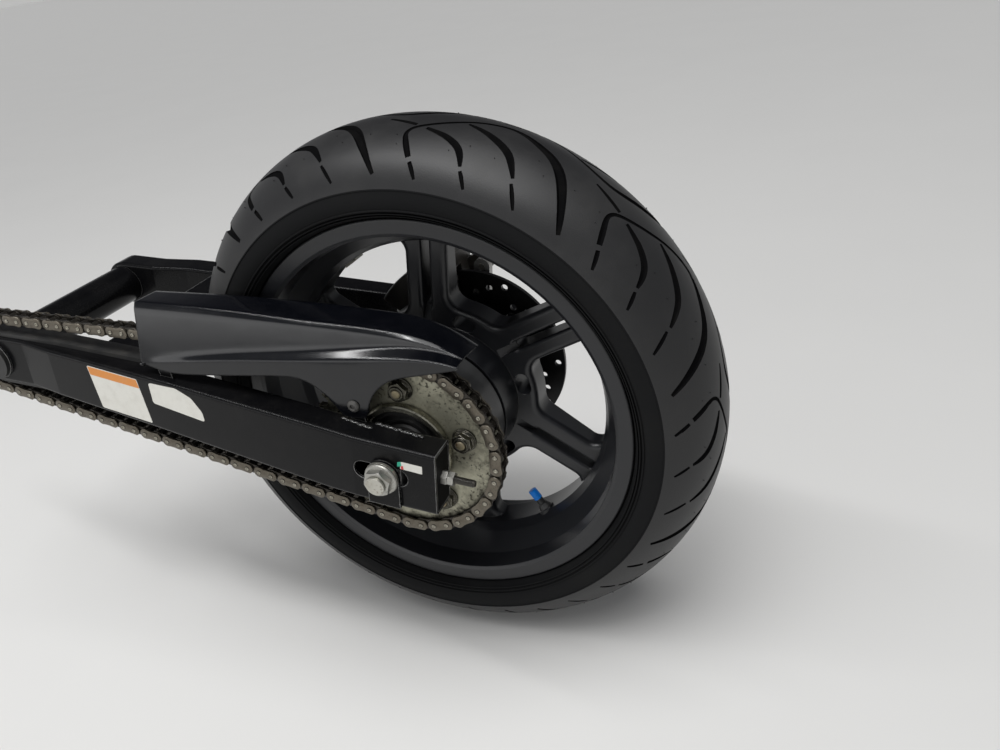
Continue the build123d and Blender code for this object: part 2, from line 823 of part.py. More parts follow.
# Swingarm: two tapered box arms, a cross member and the pivot's tube
def arm_plane(y):
    # Seen from the left, x along the arm from the axle toward the rear, y above the arm's line.
    slope = radians(droop_angle)
    return Plane(origin=(axle_x, y, axle_z), x_dir=(cos(slope), 0, -sin(slope)), z_dir=(0, -1, 0))


def rearward_plane(side, along):
    # A plane square to the arm in the middle of its width, facing rearward.
    centre = arm_plane(side * arm_centre_y).from_local_coords((along, 0, 0))
    return Plane(origin=centre, x_dir=(0, 1, 0), z_dir=arm_plane(0).x_dir)


arm_front_inset = arm_outer_y - pivot_tube_width / 2 + pivot_tube_proud
arm_rows = arm_sections + [
    (arm_front_x, arm_front_height, arm_front_depth, arm_front_inset),
    (-swingarm_length, arm_eye_r, arm_eye_r, arm_front_inset),
]


def arm_side(grown, rear_x):
    # The arm's outline from the side, cut off at rear_x, with its edges moved outward.
    rows = [row for row in arm_rows if row[0] < rear_x]
    nearest = min(row[0] for row in arm_rows if row[0] >= rear_x)
    ahead, behind = rows[0], [row for row in arm_rows if row[0] == nearest][0]
    share = (rear_x - ahead[0]) / (behind[0] - ahead[0])
    rear_top = ahead[1] + share * (behind[1] - ahead[1]) + grown
    rear_low = -(ahead[2] + share * (behind[2] - ahead[2]) + grown)
    upper = [(x, height + grown) for x, height, depth, shift in rows]
    lower = [(x, -depth - grown) for x, height, depth, shift in rows]
    eye_front = (-swingarm_length - arm_eye_r - grown, 0)
    with BuildSketch() as outline:
        with BuildLine():
            Polyline(upper[-1], *reversed(upper[:-1]), (rear_x, rear_top), (rear_x, rear_low), *lower)
            ThreePointArc(lower[-1], eye_front, upper[-1])
        make_face()
    return outline.sketch


def arm_body(inset, rear_extra=0.0):
    # The left arm's solid shape, with its faces moved inward by the inset.
    seen_side = arm_plane(-arm_centre_y)
    half_width = arm_width / 2 - inset
    corner_r = max(arm_edge_fillet - inset, arm_edge_fillet / 3)
    with BuildPart() as body:
        for x, height, depth, shift in arm_rows:
            along = x + rear_extra if x == arm_rear_x else x
            centre = seen_side.from_local_coords((along, (height - depth) / 2, -shift))
            with BuildSketch(Plane(origin=centre, x_dir=(0, 1, 0), z_dir=seen_side.x_dir)) as section:
                Rectangle(2 * half_width, height + depth - 2 * inset)
                fillet(section.vertices(), corner_r)
        loft(ruled=True)
        with BuildSketch(Plane(origin=(0, -arm_centre_y + arm_front_inset, 0), x_dir=(0, 1, 0), z_dir=(1, 0, 0))):
            with BuildSketch(mode=Mode.PRIVATE) as eye_section:
                Rectangle(2 * half_width, 2 * (arm_eye_r - inset))
                fillet(eye_section.vertices(), corner_r)
            add(eye_section)
            Rectangle(arm_width, arm_eye_r, align=(Align.CENTER, Align.MAX), mode=Mode.SUBTRACT)
        revolve(axis=Axis.Y)
    return body.part


with BuildPart() as left_arm:
    add(arm_body(0))
    add(arm_body(arm_wall, rear_extra=1.0), mode=Mode.SUBTRACT)
    with BuildSketch(arm_plane(0)):
        with Locations(((slot_rear - slot_front) / 2, 0)):
            SlotOverall(slot_front + slot_rear, 2 * axle_r + 1)
    extrude(amount=2 * arm_outer_y, mode=Mode.SUBTRACT)
    with BuildSketch(pivot_plane(0)):
        Circle(pivot_tube_r + weld_gap)
    extrude(amount=2 * arm_outer_y, mode=Mode.SUBTRACT)
save(left_arm, "left_arm")
left_arm_outside = arm_body(0)

with BuildPart() as right_arm:
    mirror(left_arm.part, about=Plane.XZ)
save(right_arm, "right_arm")

arm_inside = arm_width - 2 * arm_wall
rear_height, rear_depth = arm_sections[0][1:3]
arm_rear_middle = (rear_height - rear_depth) / 2
with BuildPart() as arm_end_plates:
    for side in (-1, 1):
        with BuildSketch(arm_plane(side * arm_centre_y)):
            with Locations((arm_rear_x - end_plate_thickness / 2, arm_rear_middle)):
                Rectangle(end_plate_thickness, rear_height + rear_depth - 2 * arm_wall - 2 * weld_gap)
        extrude(amount=arm_inside / 2 - weld_gap, both=True)
        with BuildSketch(rearward_plane(side, arm_rear_x - 2 * end_plate_thickness)):
            Circle(adjuster_stud_r + adjuster_clearance)
        extrude(amount=3 * end_plate_thickness, mode=Mode.SUBTRACT)
save(arm_end_plates, "arm_end_plates")

with BuildPart() as pivot_tube:
    add(ring(pivot_tube_r, pivot_tube_r - pivot_tube_wall, pivot_tube_width / 2, -pivot_tube_width / 2, pivot_plane))
save(pivot_tube, "pivot_tube")

# Bearings, collar and dust seals in the pivot's tube
collar_r = pivot_bolt_r + pivot_collar_wall
collar_half = pivot_tube_width / 2 + pivot_collar_proud
with BuildPart() as pivot_bearings:
    for side in (-1, 1):
        outer_y = side * (pivot_tube_width / 2 - 1)
        inner_y = side * (pivot_tube_width / 2 - 1 - pivot_bearing_width)
        add(
            ring(
                pivot_tube_r - pivot_tube_wall - running_clearance,
                collar_r + running_clearance,
                max(outer_y, inner_y),
                min(outer_y, inner_y),
                pivot_plane,
            )
        )
save(pivot_bearings, "pivot_bearings")

with BuildPart() as pivot_collar:
    add(ring(collar_r, pivot_bolt_r, collar_half, -collar_half, pivot_plane))
save(pivot_collar, "pivot_collar")

with BuildPart() as pivot_seals:
    for side in (-1, 1):
        near_y = side * pivot_tube_width / 2
        far_y = side * (collar_half - 1)
        add(ring(pivot_tube_r - 1, collar_r + running_clearance, max(near_y, far_y), min(near_y, far_y), pivot_plane))
save(pivot_seals, "pivot_seals")

# Cross member ahead of the tyre, with the lugs for the shock's linkage beneath it
with BuildPart() as cross_member:
    with BuildSketch(arm_plane(0)):
        with Locations((cross_x, cross_rise)):
            Rectangle(cross_length, cross_height)
            Rectangle(cross_length - 2 * cross_wall, cross_height - 2 * cross_wall, mode=Mode.SUBTRACT)
    extrude(amount=cross_half_span, both=True)
    add(left_arm_outside, mode=Mode.SUBTRACT)
    add(mirror(left_arm_outside, about=Plane.XZ, mode=Mode.PRIVATE), mode=Mode.SUBTRACT)
save(cross_member, "cross_member")

lug_top = cross_rise - cross_height / 2
lug_low = lug_top - lug_drop
with BuildPart() as linkage_lugs:
    for side in (-1, 1):
        with BuildSketch(arm_plane(side * lug_half_spacing)):
            with BuildLine():
                Polyline(
                    (cross_x - lug_r, lug_low),
                    (cross_x - cross_length / 2, lug_top),
                    (cross_x + cross_length / 2, lug_top),
                    (cross_x + lug_r, lug_low),
                )
                ThreePointArc((cross_x + lug_r, lug_low), (cross_x, lug_low - lug_r), (cross_x - lug_r, lug_low))
            make_face()
            with Locations((cross_x, lug_low)):
                Circle(lug_bolt_r, mode=Mode.SUBTRACT)
        extrude(amount=lug_thickness / 2, both=True)
save(linkage_lugs, "linkage_lugs")

# Chain slider, bent round the left arm's front end: under the upper run, over the lower run
with BuildPart() as chain_slider:
    with BuildSketch(arm_plane(chain_line_y + slider_width / 2)):
        add(arm_side(slider_thickness, slider_rear_x))
        add(arm_side(0, slider_rear_x + 1), mode=Mode.SUBTRACT)
    extrude(amount=slider_width)
save(chain_slider, "chain_slider")

# Axle with its head on the right, washer and nut on the left
plate_left_y = arm_outer_y + index_plate_thickness
washer_outer_y = plate_left_y + axle_washer_thickness
nut_outer_y = washer_outer_y + axle_nut_height
with BuildPart() as rear_axle:
    add(ring(axle_r, 0, washer_outer_y, -(nut_outer_y + axle_thread_proud)))
    add(hex_prism(axle_head_af, washer_outer_y + axle_head_height, washer_outer_y))
save(rear_axle, "rear_axle")

with BuildPart() as axle_nut:
    add(hex_prism(axle_nut_af, -washer_outer_y, -nut_outer_y))
    add(ring(axle_r + running_clearance, 0, 0, -300), mode=Mode.SUBTRACT)
save(axle_nut, "axle_nut")

with BuildPart() as axle_washers:
    add(ring(axle_washer_r, axle_r + running_clearance, -plate_left_y, -washer_outer_y))
    add(ring(axle_washer_r, axle_r + running_clearance, washer_outer_y, plate_left_y))
save(axle_washers, "axle_washers")

# Index plates over the slots, and the blocks inside the arms that the adjuster studs pull
with BuildPart() as index_plates:
    for near_y, far_y in ((-arm_outer_y, -plate_left_y), (plate_left_y, arm_outer_y)):
        with BuildSketch(arm_plane(near_y)):
            Circle(index_plate_width / 2)
            with Locations((0, -index_plate_drop / 2)):
                Rectangle(index_plate_width, index_plate_drop)
            Circle(axle_r + running_clearance, mode=Mode.SUBTRACT)
        extrude(amount=near_y - far_y)
save(index_plates, "index_plates")

with BuildPart() as adjuster_blocks:
    for side in (-1, 1):
        with BuildSketch(arm_plane(side * arm_centre_y)):
            Rectangle(block_length, block_height)
            Circle(axle_r + running_clearance, mode=Mode.SUBTRACT)
        extrude(amount=arm_inside / 2 - block_clearance, both=True)
save(adjuster_blocks, "adjuster_blocks")

with BuildPart() as adjuster_studs:
    for side in (-1, 1):
        with BuildSketch(rearward_plane(side, block_length / 2)):
            Circle(adjuster_stud_r)
        extrude(amount=adjuster_stud_length)
save(adjuster_studs, "adjuster_studs")

with BuildPart() as adjuster_nuts:
    for side in (-1, 1):
        for nut in range(2):
            with BuildSketch(rearward_plane(side, arm_rear_x + nut * (adjuster_nut_height + adjuster_nut_gap))):
                RegularPolygon(radius=adjuster_nut_af / 2, side_count=6, major_radius=False, rotation=15 * nut)
                Circle(adjuster_stud_r + running_clearance, mode=Mode.SUBTRACT)
            extrude(amount=adjuster_nut_height)
save(adjuster_nuts, "adjuster_nuts")

# Spacers on the axle, from the wheel's bearings out to the arms
bracket_left_y = bracket_right_y - bracket_thickness
with BuildPart() as axle_spacers:
    add(ring(spacer_r, axle_r + running_clearance, carrier_recess_y + seal_width, -arm_inner_y))
    add(ring(spacer_r, axle_r + running_clearance, bracket_left_y, hub_right_y - seal_width))
    add(ring(spacer_r, axle_r + running_clearance, arm_inner_y, bracket_right_y))
save(axle_spacers, "axle_spacers")

# Caliper bracket: hung on the axle, held by an anchor rib on the right arm
with BuildPart() as caliper_bracket:
    with BuildSketch(wheel_plane(bracket_right_y)):
        Circle(bracket_boss_r)
        ear_places = [
            (bracket_ear_r, caliper_angle + side * bracket_ear_angle)
            for side in (-1, 1)
        ]
        for radius, angle in ear_places:
            with Locations(Rotation(0, 0, angle)):
                with Locations((radius / 2, 0)):
                    Rectangle(radius, bracket_arm_width)
                with Locations((radius, 0)):
                    Circle(bracket_arm_width / 2)
        with BuildLine():
            Polyline(
                (0, 0), *[polar(radius * bracket_web_share, angle) for radius, angle in ear_places], close=True
            )
        make_face()
        with Locations(Rotation(0, 0, anchor_angle)):
            with Locations((bracket_ear_r / 2, 0)):
                Rectangle(bracket_ear_r, anchor_arm_width)
            with Locations((bracket_ear_r, 0)):
                Rectangle(
                    anchor_slot_length,
                    anchor_rib_height + 2 * anchor_clearance,
                    align=(Align.MAX, Align.CENTER),
                    mode=Mode.SUBTRACT,
                )
        for radius, angle in ear_places:
            with Locations(polar(radius, angle)):
                Circle(guide_pin_r + running_clearance, mode=Mode.SUBTRACT)
        Circle(axle_r + running_clearance, mode=Mode.SUBTRACT)
    extrude(amount=bracket_thickness)
save(caliper_bracket, "caliper_bracket")


def sector(inner_r, outer_r, centre_angle, half_angle):
    # The outline of a piece of a ring, for use inside a sketch.
    with BuildSketch() as outline:
        with BuildLine():
            CenterArc((0, 0), outer_r, centre_angle - half_angle, 2 * half_angle)
            CenterArc((0, 0), inner_r, centre_angle - half_angle, 2 * half_angle)
            for end in (-half_angle, half_angle):
                Line(polar(inner_r, centre_angle + end), polar(outer_r, centre_angle + end))
        make_face()
    return outline.sketch


# Caliper: a wall each side of the disc, a bridge over its edge, the piston's housing and the hose's port
pad_left_right_y = disc_left_y - pad_clearance
pad_right_left_y = disc_right_y + pad_clearance
caliper_left_y = pad_left_right_y - pad_thickness - caliper_left_wall
caliper_right_y = pad_right_left_y + pad_thickness + caliper_right_wall
ear_right_y = bracket_right_y + caliper_ear_gap + caliper_ear_thickness
port_plane = wheel_plane(caliper_right_y + hose_boss_height)
with BuildPart() as caliper_body:
    with BuildSketch(wheel_plane(caliper_right_y)):
        add(sector(caliper_bridge_r, caliper_outer_r, caliper_angle, caliper_half_angle))
    extrude(amount=caliper_right_y - caliper_left_y)
    for right_y, left_y in (
        (caliper_right_y, pad_right_left_y + pad_thickness),
        (pad_left_right_y - pad_thickness, caliper_left_y),
    ):
        with BuildSketch(wheel_plane(right_y)):
            add(sector(caliper_inner_r, caliper_outer_r, caliper_angle, caliper_half_angle))
        extrude(amount=right_y - left_y)
    outer_arcs = [
        edge
        for edge in caliper_body.edges().filter_by(GeomType.CIRCLE)
        if abs(edge.radius - caliper_outer_r) < 0.01
    ]
    fillet(outer_arcs, caliper_fillet)
    with BuildSketch(wheel_plane(caliper_right_y + piston_proud)):
        with Locations(polar((caliper_inner_r + caliper_bridge_r) / 2, caliper_angle)):
            Circle(piston_r)
    extrude(amount=2 * piston_proud, taper=-4)
    with BuildSketch(port_plane):
        with Locations(polar(hose_port_radius, hose_port_angle)):
            Circle(hose_boss_r)
    extrude(amount=2 * hose_boss_height)
    for radius, angle in ear_places:
        with BuildSketch(wheel_plane(ear_right_y)):
            with Locations(polar(radius, angle)):
                Circle(caliper_ear_r)
            with Locations(polar(radius, caliper_angle + (angle - caliper_angle) * caliper_ear_share)):
                Rectangle(2 * caliper_ear_r - 2, 3 * caliper_ear_thickness, rotation=caliper_angle)
            with Locations(polar(radius, angle)):
                Circle(guide_pin_r + running_clearance, mode=Mode.SUBTRACT)
        extrude(amount=caliper_ear_thickness)
    with BuildSketch(port_plane):
        with Locations(polar(hose_port_radius, hose_port_angle)):
            Circle(hose_bore_r)
    extrude(amount=hose_bore_depth, mode=Mode.SUBTRACT)
save(caliper_body, "caliper_body")

bleed_place = polar(hose_port_radius, bleed_angle)
with BuildPart() as bleed_screw:
    with BuildSketch(wheel_plane(caliper_right_y + bleed_hex_height)):
        with Locations(bleed_place):
            RegularPolygon(radius=bleed_af / 2, side_count=6, major_radius=False)
    extrude(amount=bleed_hex_height)
    with BuildSketch(wheel_plane(caliper_right_y + bleed_hex_height + bleed_tip_height)):
        with Locations(bleed_place):
            Circle(bleed_tip_r)
    extrude(amount=bleed_tip_height)
save(bleed_screw, "bleed_screw")

with BuildPart() as brake_pads:
    for right_y in (pad_left_right_y, pad_right_left_y + pad_thickness):
        with BuildSketch(wheel_plane(right_y)):
            add(
                sector(
                    caliper_inner_r + pad_backset,
                    caliper_bridge_r - pad_top_gap,
                    caliper_angle,
                    caliper_half_angle - pad_end_angle,
                )
            )
        extrude(amount=pad_thickness)
save(brake_pads, "brake_pads")

with BuildPart() as guide_pins:
    for radius, angle in ear_places:
        with BuildSketch(wheel_plane(ear_right_y)):
            with Locations(polar(radius, angle)):
                Circle(guide_pin_r)
        extrude(amount=ear_right_y - bracket_left_y)
        with BuildSketch(wheel_plane(ear_right_y + guide_pin_head_height)):
            with Locations(polar(radius, angle)):
                RegularPolygon(radius=guide_pin_head_r, side_count=6, major_radius=False)
        extrude(amount=guide_pin_head_height)
save(guide_pins, "guide_pins")

# Anchor rib on the right arm's inner wall, in the bracket's slot
with BuildPart() as bracket_anchor:
    with BuildSketch(wheel_plane(arm_inner_y + arm_width / 2)):
        with Locations(Rotation(0, 0, anchor_angle)):
            with Locations((bracket_ear_r - anchor_rib_length * 0.4, 0)):
                Rectangle(anchor_rib_length, anchor_rib_height)
    extrude(amount=arm_inner_y + arm_width / 2 - bracket_left_y)
    add(mirror(left_arm_outside, about=Plane.XZ, mode=Mode.PRIVATE), mode=Mode.SUBTRACT)
save(bracket_anchor, "bracket_anchor")

# Chain guard: a deck over the upper run, a face and a ledge below it and a side panel with a leg
guard_corner_y = (guard_deck_y, guard_ridge_y, guard_face_top_y, guard_face_low_y, guard_outer_y, guard_outer_y)


def guard_section(heights):
    # The guard's wall at one station: the outside from the deck's far edge down, and back along the inside.
    outside = [Vector(y, z) for y, z in zip(guard_corner_y, (*heights, guard_leg_z))]
    steps = [(b - a).normalized() for a, b in zip(outside, outside[1:])]
    inward = [Vector(-step.Y, step.X) for step in steps]
    inside = []
    for place, before, after in zip(outside, [inward[0], *inward], [*inward, inward[-1]]):
        middle = (before + after).normalized()
        inside.append(place + middle * (guard_wall / middle.dot(after)))
    return [(v.X, v.Y) for v in (*outside, *reversed(inside))]


def guard_plane(x):
    return Plane(origin=(axle_x + x, 0, axle_z), x_dir=(0, 1, 0), z_dir=(1, 0, 0))


with BuildPart() as chain_guard:
    for x, *heights in guard_stations:
        with BuildSketch(guard_plane(x)):
            with BuildLine():
                Polyline(*guard_section(heights), close=True)
            make_face()
    loft(ruled=True)
    # Side panel's lower outline, with the leg
    with BuildSketch(wheel_plane(guard_outer_y + 2 * guard_wall)):
        with BuildLine():
            Polyline(*guard_outline, (guard_outline[-1][0], 0), (guard_outline[0][0], 0), close=True)
        make_face()
    extrude(amount=4 * guard_wall, mode=Mode.SUBTRACT)
    with BuildSketch(wheel_plane(guard_outer_y + 2 * guard_wall)):
        with Locations((guard_bolt_x, guard_bolt_z)):
            Circle(guard_bolt_r + running_clearance)
    extrude(amount=4 * guard_wall, mode=Mode.SUBTRACT)
save(chain_guard, "chain_guard")

# Tabs that stand on the arm behind the guard: one for the leg's bolt, one under the front end
guard_inner_y = guard_outer_y + guard_wall
with BuildPart() as guard_tab:
    for tab_x, tab_top in ((guard_bolt_x, guard_bolt_z + guard_tab_width / 2), (guard_front_tab_x, guard_front_tab_z)):
        with BuildSketch(wheel_plane(guard_inner_y + guard_tab_thickness)):
            with Locations((tab_x, tab_top)):
                Rectangle(guard_tab_width, tab_top, align=(Align.CENTER, Align.MAX))
        extrude(amount=guard_tab_thickness)
    with BuildSketch(wheel_plane(guard_inner_y + guard_tab_thickness)):
        with Locations((guard_bolt_x, guard_bolt_z)):
            Circle(guard_bolt_r + running_clearance)
    extrude(amount=guard_tab_thickness, mode=Mode.SUBTRACT)
    add(left_arm_outside, mode=Mode.SUBTRACT)
    with BuildSketch(arm_plane(0)):
        Rectangle(4 * swingarm_length, swingarm_length, align=(Align.CENTER, Align.MAX))
    extrude(amount=2 * arm_outer_y, mode=Mode.SUBTRACT)
save(guard_tab, "guard_tab")

with BuildPart() as guard_bolts:
    with BuildSketch(wheel_plane(guard_outer_y)):
        with Locations((guard_bolt_x, guard_bolt_z)):
            Circle(guard_bolt_head_r)
    extrude(amount=guard_bolt_head_height)
    with BuildSketch(wheel_plane(guard_inner_y + guard_tab_thickness)):
        with Locations((guard_bolt_x, guard_bolt_z)):
            Circle(guard_bolt_r)
    extrude(amount=guard_tab_thickness + guard_wall)
save(guard_bolts, "guard_bolts")
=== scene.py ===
import json
import math

import bmesh
import bpy
from mathutils import Matrix, Vector


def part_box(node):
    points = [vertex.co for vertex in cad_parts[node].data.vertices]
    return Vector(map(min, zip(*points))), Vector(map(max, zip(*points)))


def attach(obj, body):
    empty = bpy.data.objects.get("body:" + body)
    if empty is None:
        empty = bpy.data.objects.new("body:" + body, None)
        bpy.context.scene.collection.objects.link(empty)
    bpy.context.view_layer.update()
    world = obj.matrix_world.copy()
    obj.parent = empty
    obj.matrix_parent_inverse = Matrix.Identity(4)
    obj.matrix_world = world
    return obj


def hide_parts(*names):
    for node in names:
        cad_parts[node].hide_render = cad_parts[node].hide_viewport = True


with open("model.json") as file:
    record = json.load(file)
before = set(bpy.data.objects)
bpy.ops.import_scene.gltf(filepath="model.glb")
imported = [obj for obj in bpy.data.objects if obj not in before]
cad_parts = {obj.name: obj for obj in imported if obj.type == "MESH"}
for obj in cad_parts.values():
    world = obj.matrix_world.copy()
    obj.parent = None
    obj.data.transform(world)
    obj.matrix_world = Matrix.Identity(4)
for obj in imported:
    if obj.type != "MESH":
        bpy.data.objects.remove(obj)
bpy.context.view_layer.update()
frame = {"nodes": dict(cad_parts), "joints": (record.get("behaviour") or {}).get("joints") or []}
nodes = frame["nodes"]

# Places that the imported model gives, in metres
wheelCentre = Vector(frame["joints"][0]["pos_m"])
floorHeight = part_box("tyre")[0].z
armDroop = 8.4  # degrees that the arms fall toward the wheel
print("frame loaded:", len(nodes), "nodes")


# Shader tools. A value is a number, a colour or another node's output.

def setSocket(tree, socket, value):
    if isinstance(value, bpy.types.NodeSocket):
        tree.links.new(value, socket)
    elif isinstance(value, tuple):
        socket.default_value = (*value, 1.0)
    else:
        socket.default_value = value


def mathNode(tree, operation, *values, clamp=False):
    node = tree.nodes.new("ShaderNodeMath")
    node.operation = operation
    node.use_clamp = clamp
    for socket, value in zip(node.inputs, values):
        setSocket(tree, socket, value)
    return node.outputs[0]


def vectorNode(tree, operation, a, b=None):
    node = tree.nodes.new("ShaderNodeVectorMath")
    node.operation = operation
    tree.links.new(a, node.inputs[0])
    if isinstance(b, bpy.types.NodeSocket):
        tree.links.new(b, node.inputs[1])
    elif b is not None:
        node.inputs[1].default_value = b
    return node.outputs["Vector" if operation == "MULTIPLY" else "Value"]


def mixColor(tree, factor, a, b):
    node = tree.nodes.new("ShaderNodeMix")
    node.data_type = "RGBA"
    for index, value in ((0, factor), (6, a), (7, b)):
        setSocket(tree, node.inputs[index], value)
    return node.outputs[2]


def objectNoise(tree, scale, detail=4.0, roughness=0.55):
    coords = tree.nodes.new("ShaderNodeTexCoord")
    noise = tree.nodes.new("ShaderNodeTexNoise")
    tree.links.new(coords.outputs["Object"], noise.inputs["Vector"])
    for label, value in (("Scale", scale), ("Detail", detail), ("Roughness", roughness)):
        setSocket(tree, noise.inputs[label], value)
    return noise.outputs["Fac"]


def rampValue(tree, value, low, high):
    node = tree.nodes.new("ShaderNodeMapRange")
    node.interpolation_type = "SMOOTHSTEP"
    for label, given in (("Value", value), ("From Min", low), ("From Max", high)):
        setSocket(tree, node.inputs[label], given)
    return node.outputs["Result"]


def wheelRadius(tree):
    # Distance from the wheel's axle, in metres
    coords = tree.nodes.new("ShaderNodeTexCoord")
    centre = tree.nodes.new("ShaderNodeMapping")
    centre.inputs["Location"].default_value = (-wheelCentre.x, 0, -wheelCentre.z)
    tree.links.new(coords.outputs["Object"], centre.inputs["Vector"])
    return vectorNode(tree, "LENGTH", vectorNode(tree, "MULTIPLY", centre.outputs["Vector"], (1, 0, 1)))


def newGroup(name, **inputs):
    # A node group whose inputs are given as name=value
    group = bpy.data.node_groups.new(name, "ShaderNodeTree")
    for label, value in inputs.items():
        kind = "NodeSocketColor" if isinstance(value, tuple) else "NodeSocketFloat"
        socket = group.interface.new_socket(label.replace("_", " "), in_out="INPUT", socket_type=kind)
        socket.default_value = (*value, 1.0) if isinstance(value, tuple) else value
    return group, group.nodes.new("NodeGroupInput").outputs


def closeGroup(group, **outputs):
    # Gives a group its outputs
    result = group.nodes.new("NodeGroupOutput")
    kinds = {"RGBA": "NodeSocketColor", "VALUE": "NodeSocketFloat", "VECTOR": "NodeSocketVector"}
    for label, value in outputs.items():
        group.interface.new_socket(label, in_out="OUTPUT", socket_type=kinds[value.type])
        group.links.new(value, result.inputs[label])
    return group


def closeTint(group, given, mask, tint):
    # Lays a tint over the color by a mask, and puts out both
    if "Amount" in given:
        mask = mathNode(group, "MULTIPLY", mask, given["Amount"], clamp=True)
    return closeGroup(group, Color=mixColor(group, mask, given["Color"], given[tint]), Mask=mask)


def placeGroup(tree, group, *values):
    # Puts a shared effect in a material, its inputs set in order
    node = tree.nodes.new("ShaderNodeGroup")
    node.node_tree = group
    for socket, value in zip(node.inputs, values):
        setSocket(tree, socket, value)
    return node.outputs


# Shared effects. Each range gives where a noise, an angle or a distance starts and ends to show.
effects = {
    "dustPatches": (0.42, 0.72),
    "dustUpward": 0.35,  # how much more dust lies on a level face than on an upright one
    "speckEdges": (0.53, 0.63),
    "speckFields": (0.36, 0.62),
    "speckFieldScale": 46.0,
    "edgeTurn": (0.02, 0.25),
    "oilRadius": (0.108, 0.132),  # metres from the axle
    "oilRagged": 0.06,
    "oilStreaks": (0.32, 0.62),
    "closedIn": (0.35, 0.85),
    "edgeWearAndHighlightScale": 120.0,
    "dustRoughness": (0.35, 0.04),  # how far roughness rises over the mask, and how far below it starts
    "plainRoughness": (0.16, 0.08),
    "plainScale": 30.0,
}


def makeDustGroup():
    # Thin road dust: patchy, and thicker on faces that look up
    group, given = newGroup(
        "roadDust", Color=(0.02, 0.02, 0.02), Dust_Color=(0.16, 0.14, 0.12), Amount=0.3, Scale=18.0
    )
    patches = rampValue(group, objectNoise(group, given["Scale"], 6.0, 0.65), *effects["dustPatches"])
    geometry = group.nodes.new("ShaderNodeNewGeometry")
    split = group.nodes.new("ShaderNodeSeparateXYZ")
    group.links.new(geometry.outputs["Normal"], split.inputs[0])
    upward = effects["dustUpward"]
    level = mathNode(group, "MULTIPLY_ADD", split.outputs["Z"], upward, 1 - upward)
    return closeTint(group, given, mathNode(group, "MULTIPLY", patches, level), "Dust Color")


def makeSpeckGroup():
    # Small separate specks and stains: grit, oil spots, rust
    group, given = newGroup(
        "specks", Color=(0.3, 0.3, 0.3), Speck_Color=(0.05, 0.04, 0.03), Amount=0.5, Scale=260.0
    )
    fine = rampValue(group, objectNoise(group, given["Scale"], 3.0, 0.6), *effects["speckEdges"])
    fields = rampValue(group, objectNoise(group, effects["speckFieldScale"], 4.0, 0.6), *effects["speckFields"])
    return closeTint(group, given, mathNode(group, "MULTIPLY", fine, fields), "Speck Color")


def makeEdgeGroup():
    # Rounded edges in the shading, and a mask of where the edges are
    group, given = newGroup("edgeRound", Radius=0.0008)
    bevel = group.nodes.new("ShaderNodeBevel")
    bevel.samples = 4
    group.links.new(given["Radius"], bevel.inputs["Radius"])
    geometry = group.nodes.new("ShaderNodeNewGeometry")
    agreement = vectorNode(group, "DOT_PRODUCT", bevel.outputs["Normal"], geometry.outputs["Normal"])
    turnedAway = mathNode(group, "SUBTRACT", 1.0, agreement)
    return closeGroup(
        group, Normal=bevel.outputs["Normal"], Edge=rampValue(group, turnedAway, *effects["edgeTurn"])
    )


def makeTurnedGroup():
    # Fine rings about the wheel's axle, as a lathe or the brake pads leave
    group, given = newGroup("turnedRings", Scale=900.0)
    rings = group.nodes.new("ShaderNodeTexNoise")
    rings.noise_dimensions = "1D"
    for label, value in (("W", wheelRadius(group)), ("Scale", given["Scale"]), ("Detail", 3.0)):
        setSocket(group, rings.inputs[label], value)
    return closeGroup(group, Height=rings.outputs["Fac"])


def makeOilGroup():
    # Oily dirt that the chain throws on, thicker towards the teeth
    group, given = newGroup("chainOil", Color=(0.3, 0.3, 0.3), Oil_Color=(0.03, 0.025, 0.018), Amount=0.8)
    ragged = mathNode(
        group, "MULTIPLY_ADD", objectNoise(group, 60.0, 6.0, 0.7), effects["oilRagged"], wheelRadius(group)
    )
    nearTeeth = rampValue(group, ragged, *effects["oilRadius"])
    streaks = rampValue(group, objectNoise(group, 150.0, 5.0, 0.7), *effects["oilStreaks"])
    return closeTint(group, given, mathNode(group, "MULTIPLY", nearTeeth, streaks), "Oil Color")


def makeCreviceShadeGroup():
    # Painted shade with grime in the corners: the color darkens where ambient occlusion finds a place closed in
    group, given = newGroup("creviceShadeAndGrime", Color=(0.3, 0.3, 0.3), Grime_Color=(0.01, 0.009, 0.007), Reach=0.003)
    openness = group.nodes.new("ShaderNodeAmbientOcclusion")
    openness.samples = 6
    group.links.new(given["Reach"], openness.inputs["Distance"])
    opened = rampValue(group, openness.outputs["AO"], *effects["closedIn"])
    return closeTint(group, given, mathNode(group, "SUBTRACT", 1.0, opened, clamp=True), "Grime Color")


dustGroup = makeDustGroup()
speckGroup = makeSpeckGroup()
edgeGroup = makeEdgeGroup()
turnedGroup = makeTurnedGroup()
oilGroup = makeOilGroup()
creviceShadeGroup = makeCreviceShadeGroup()
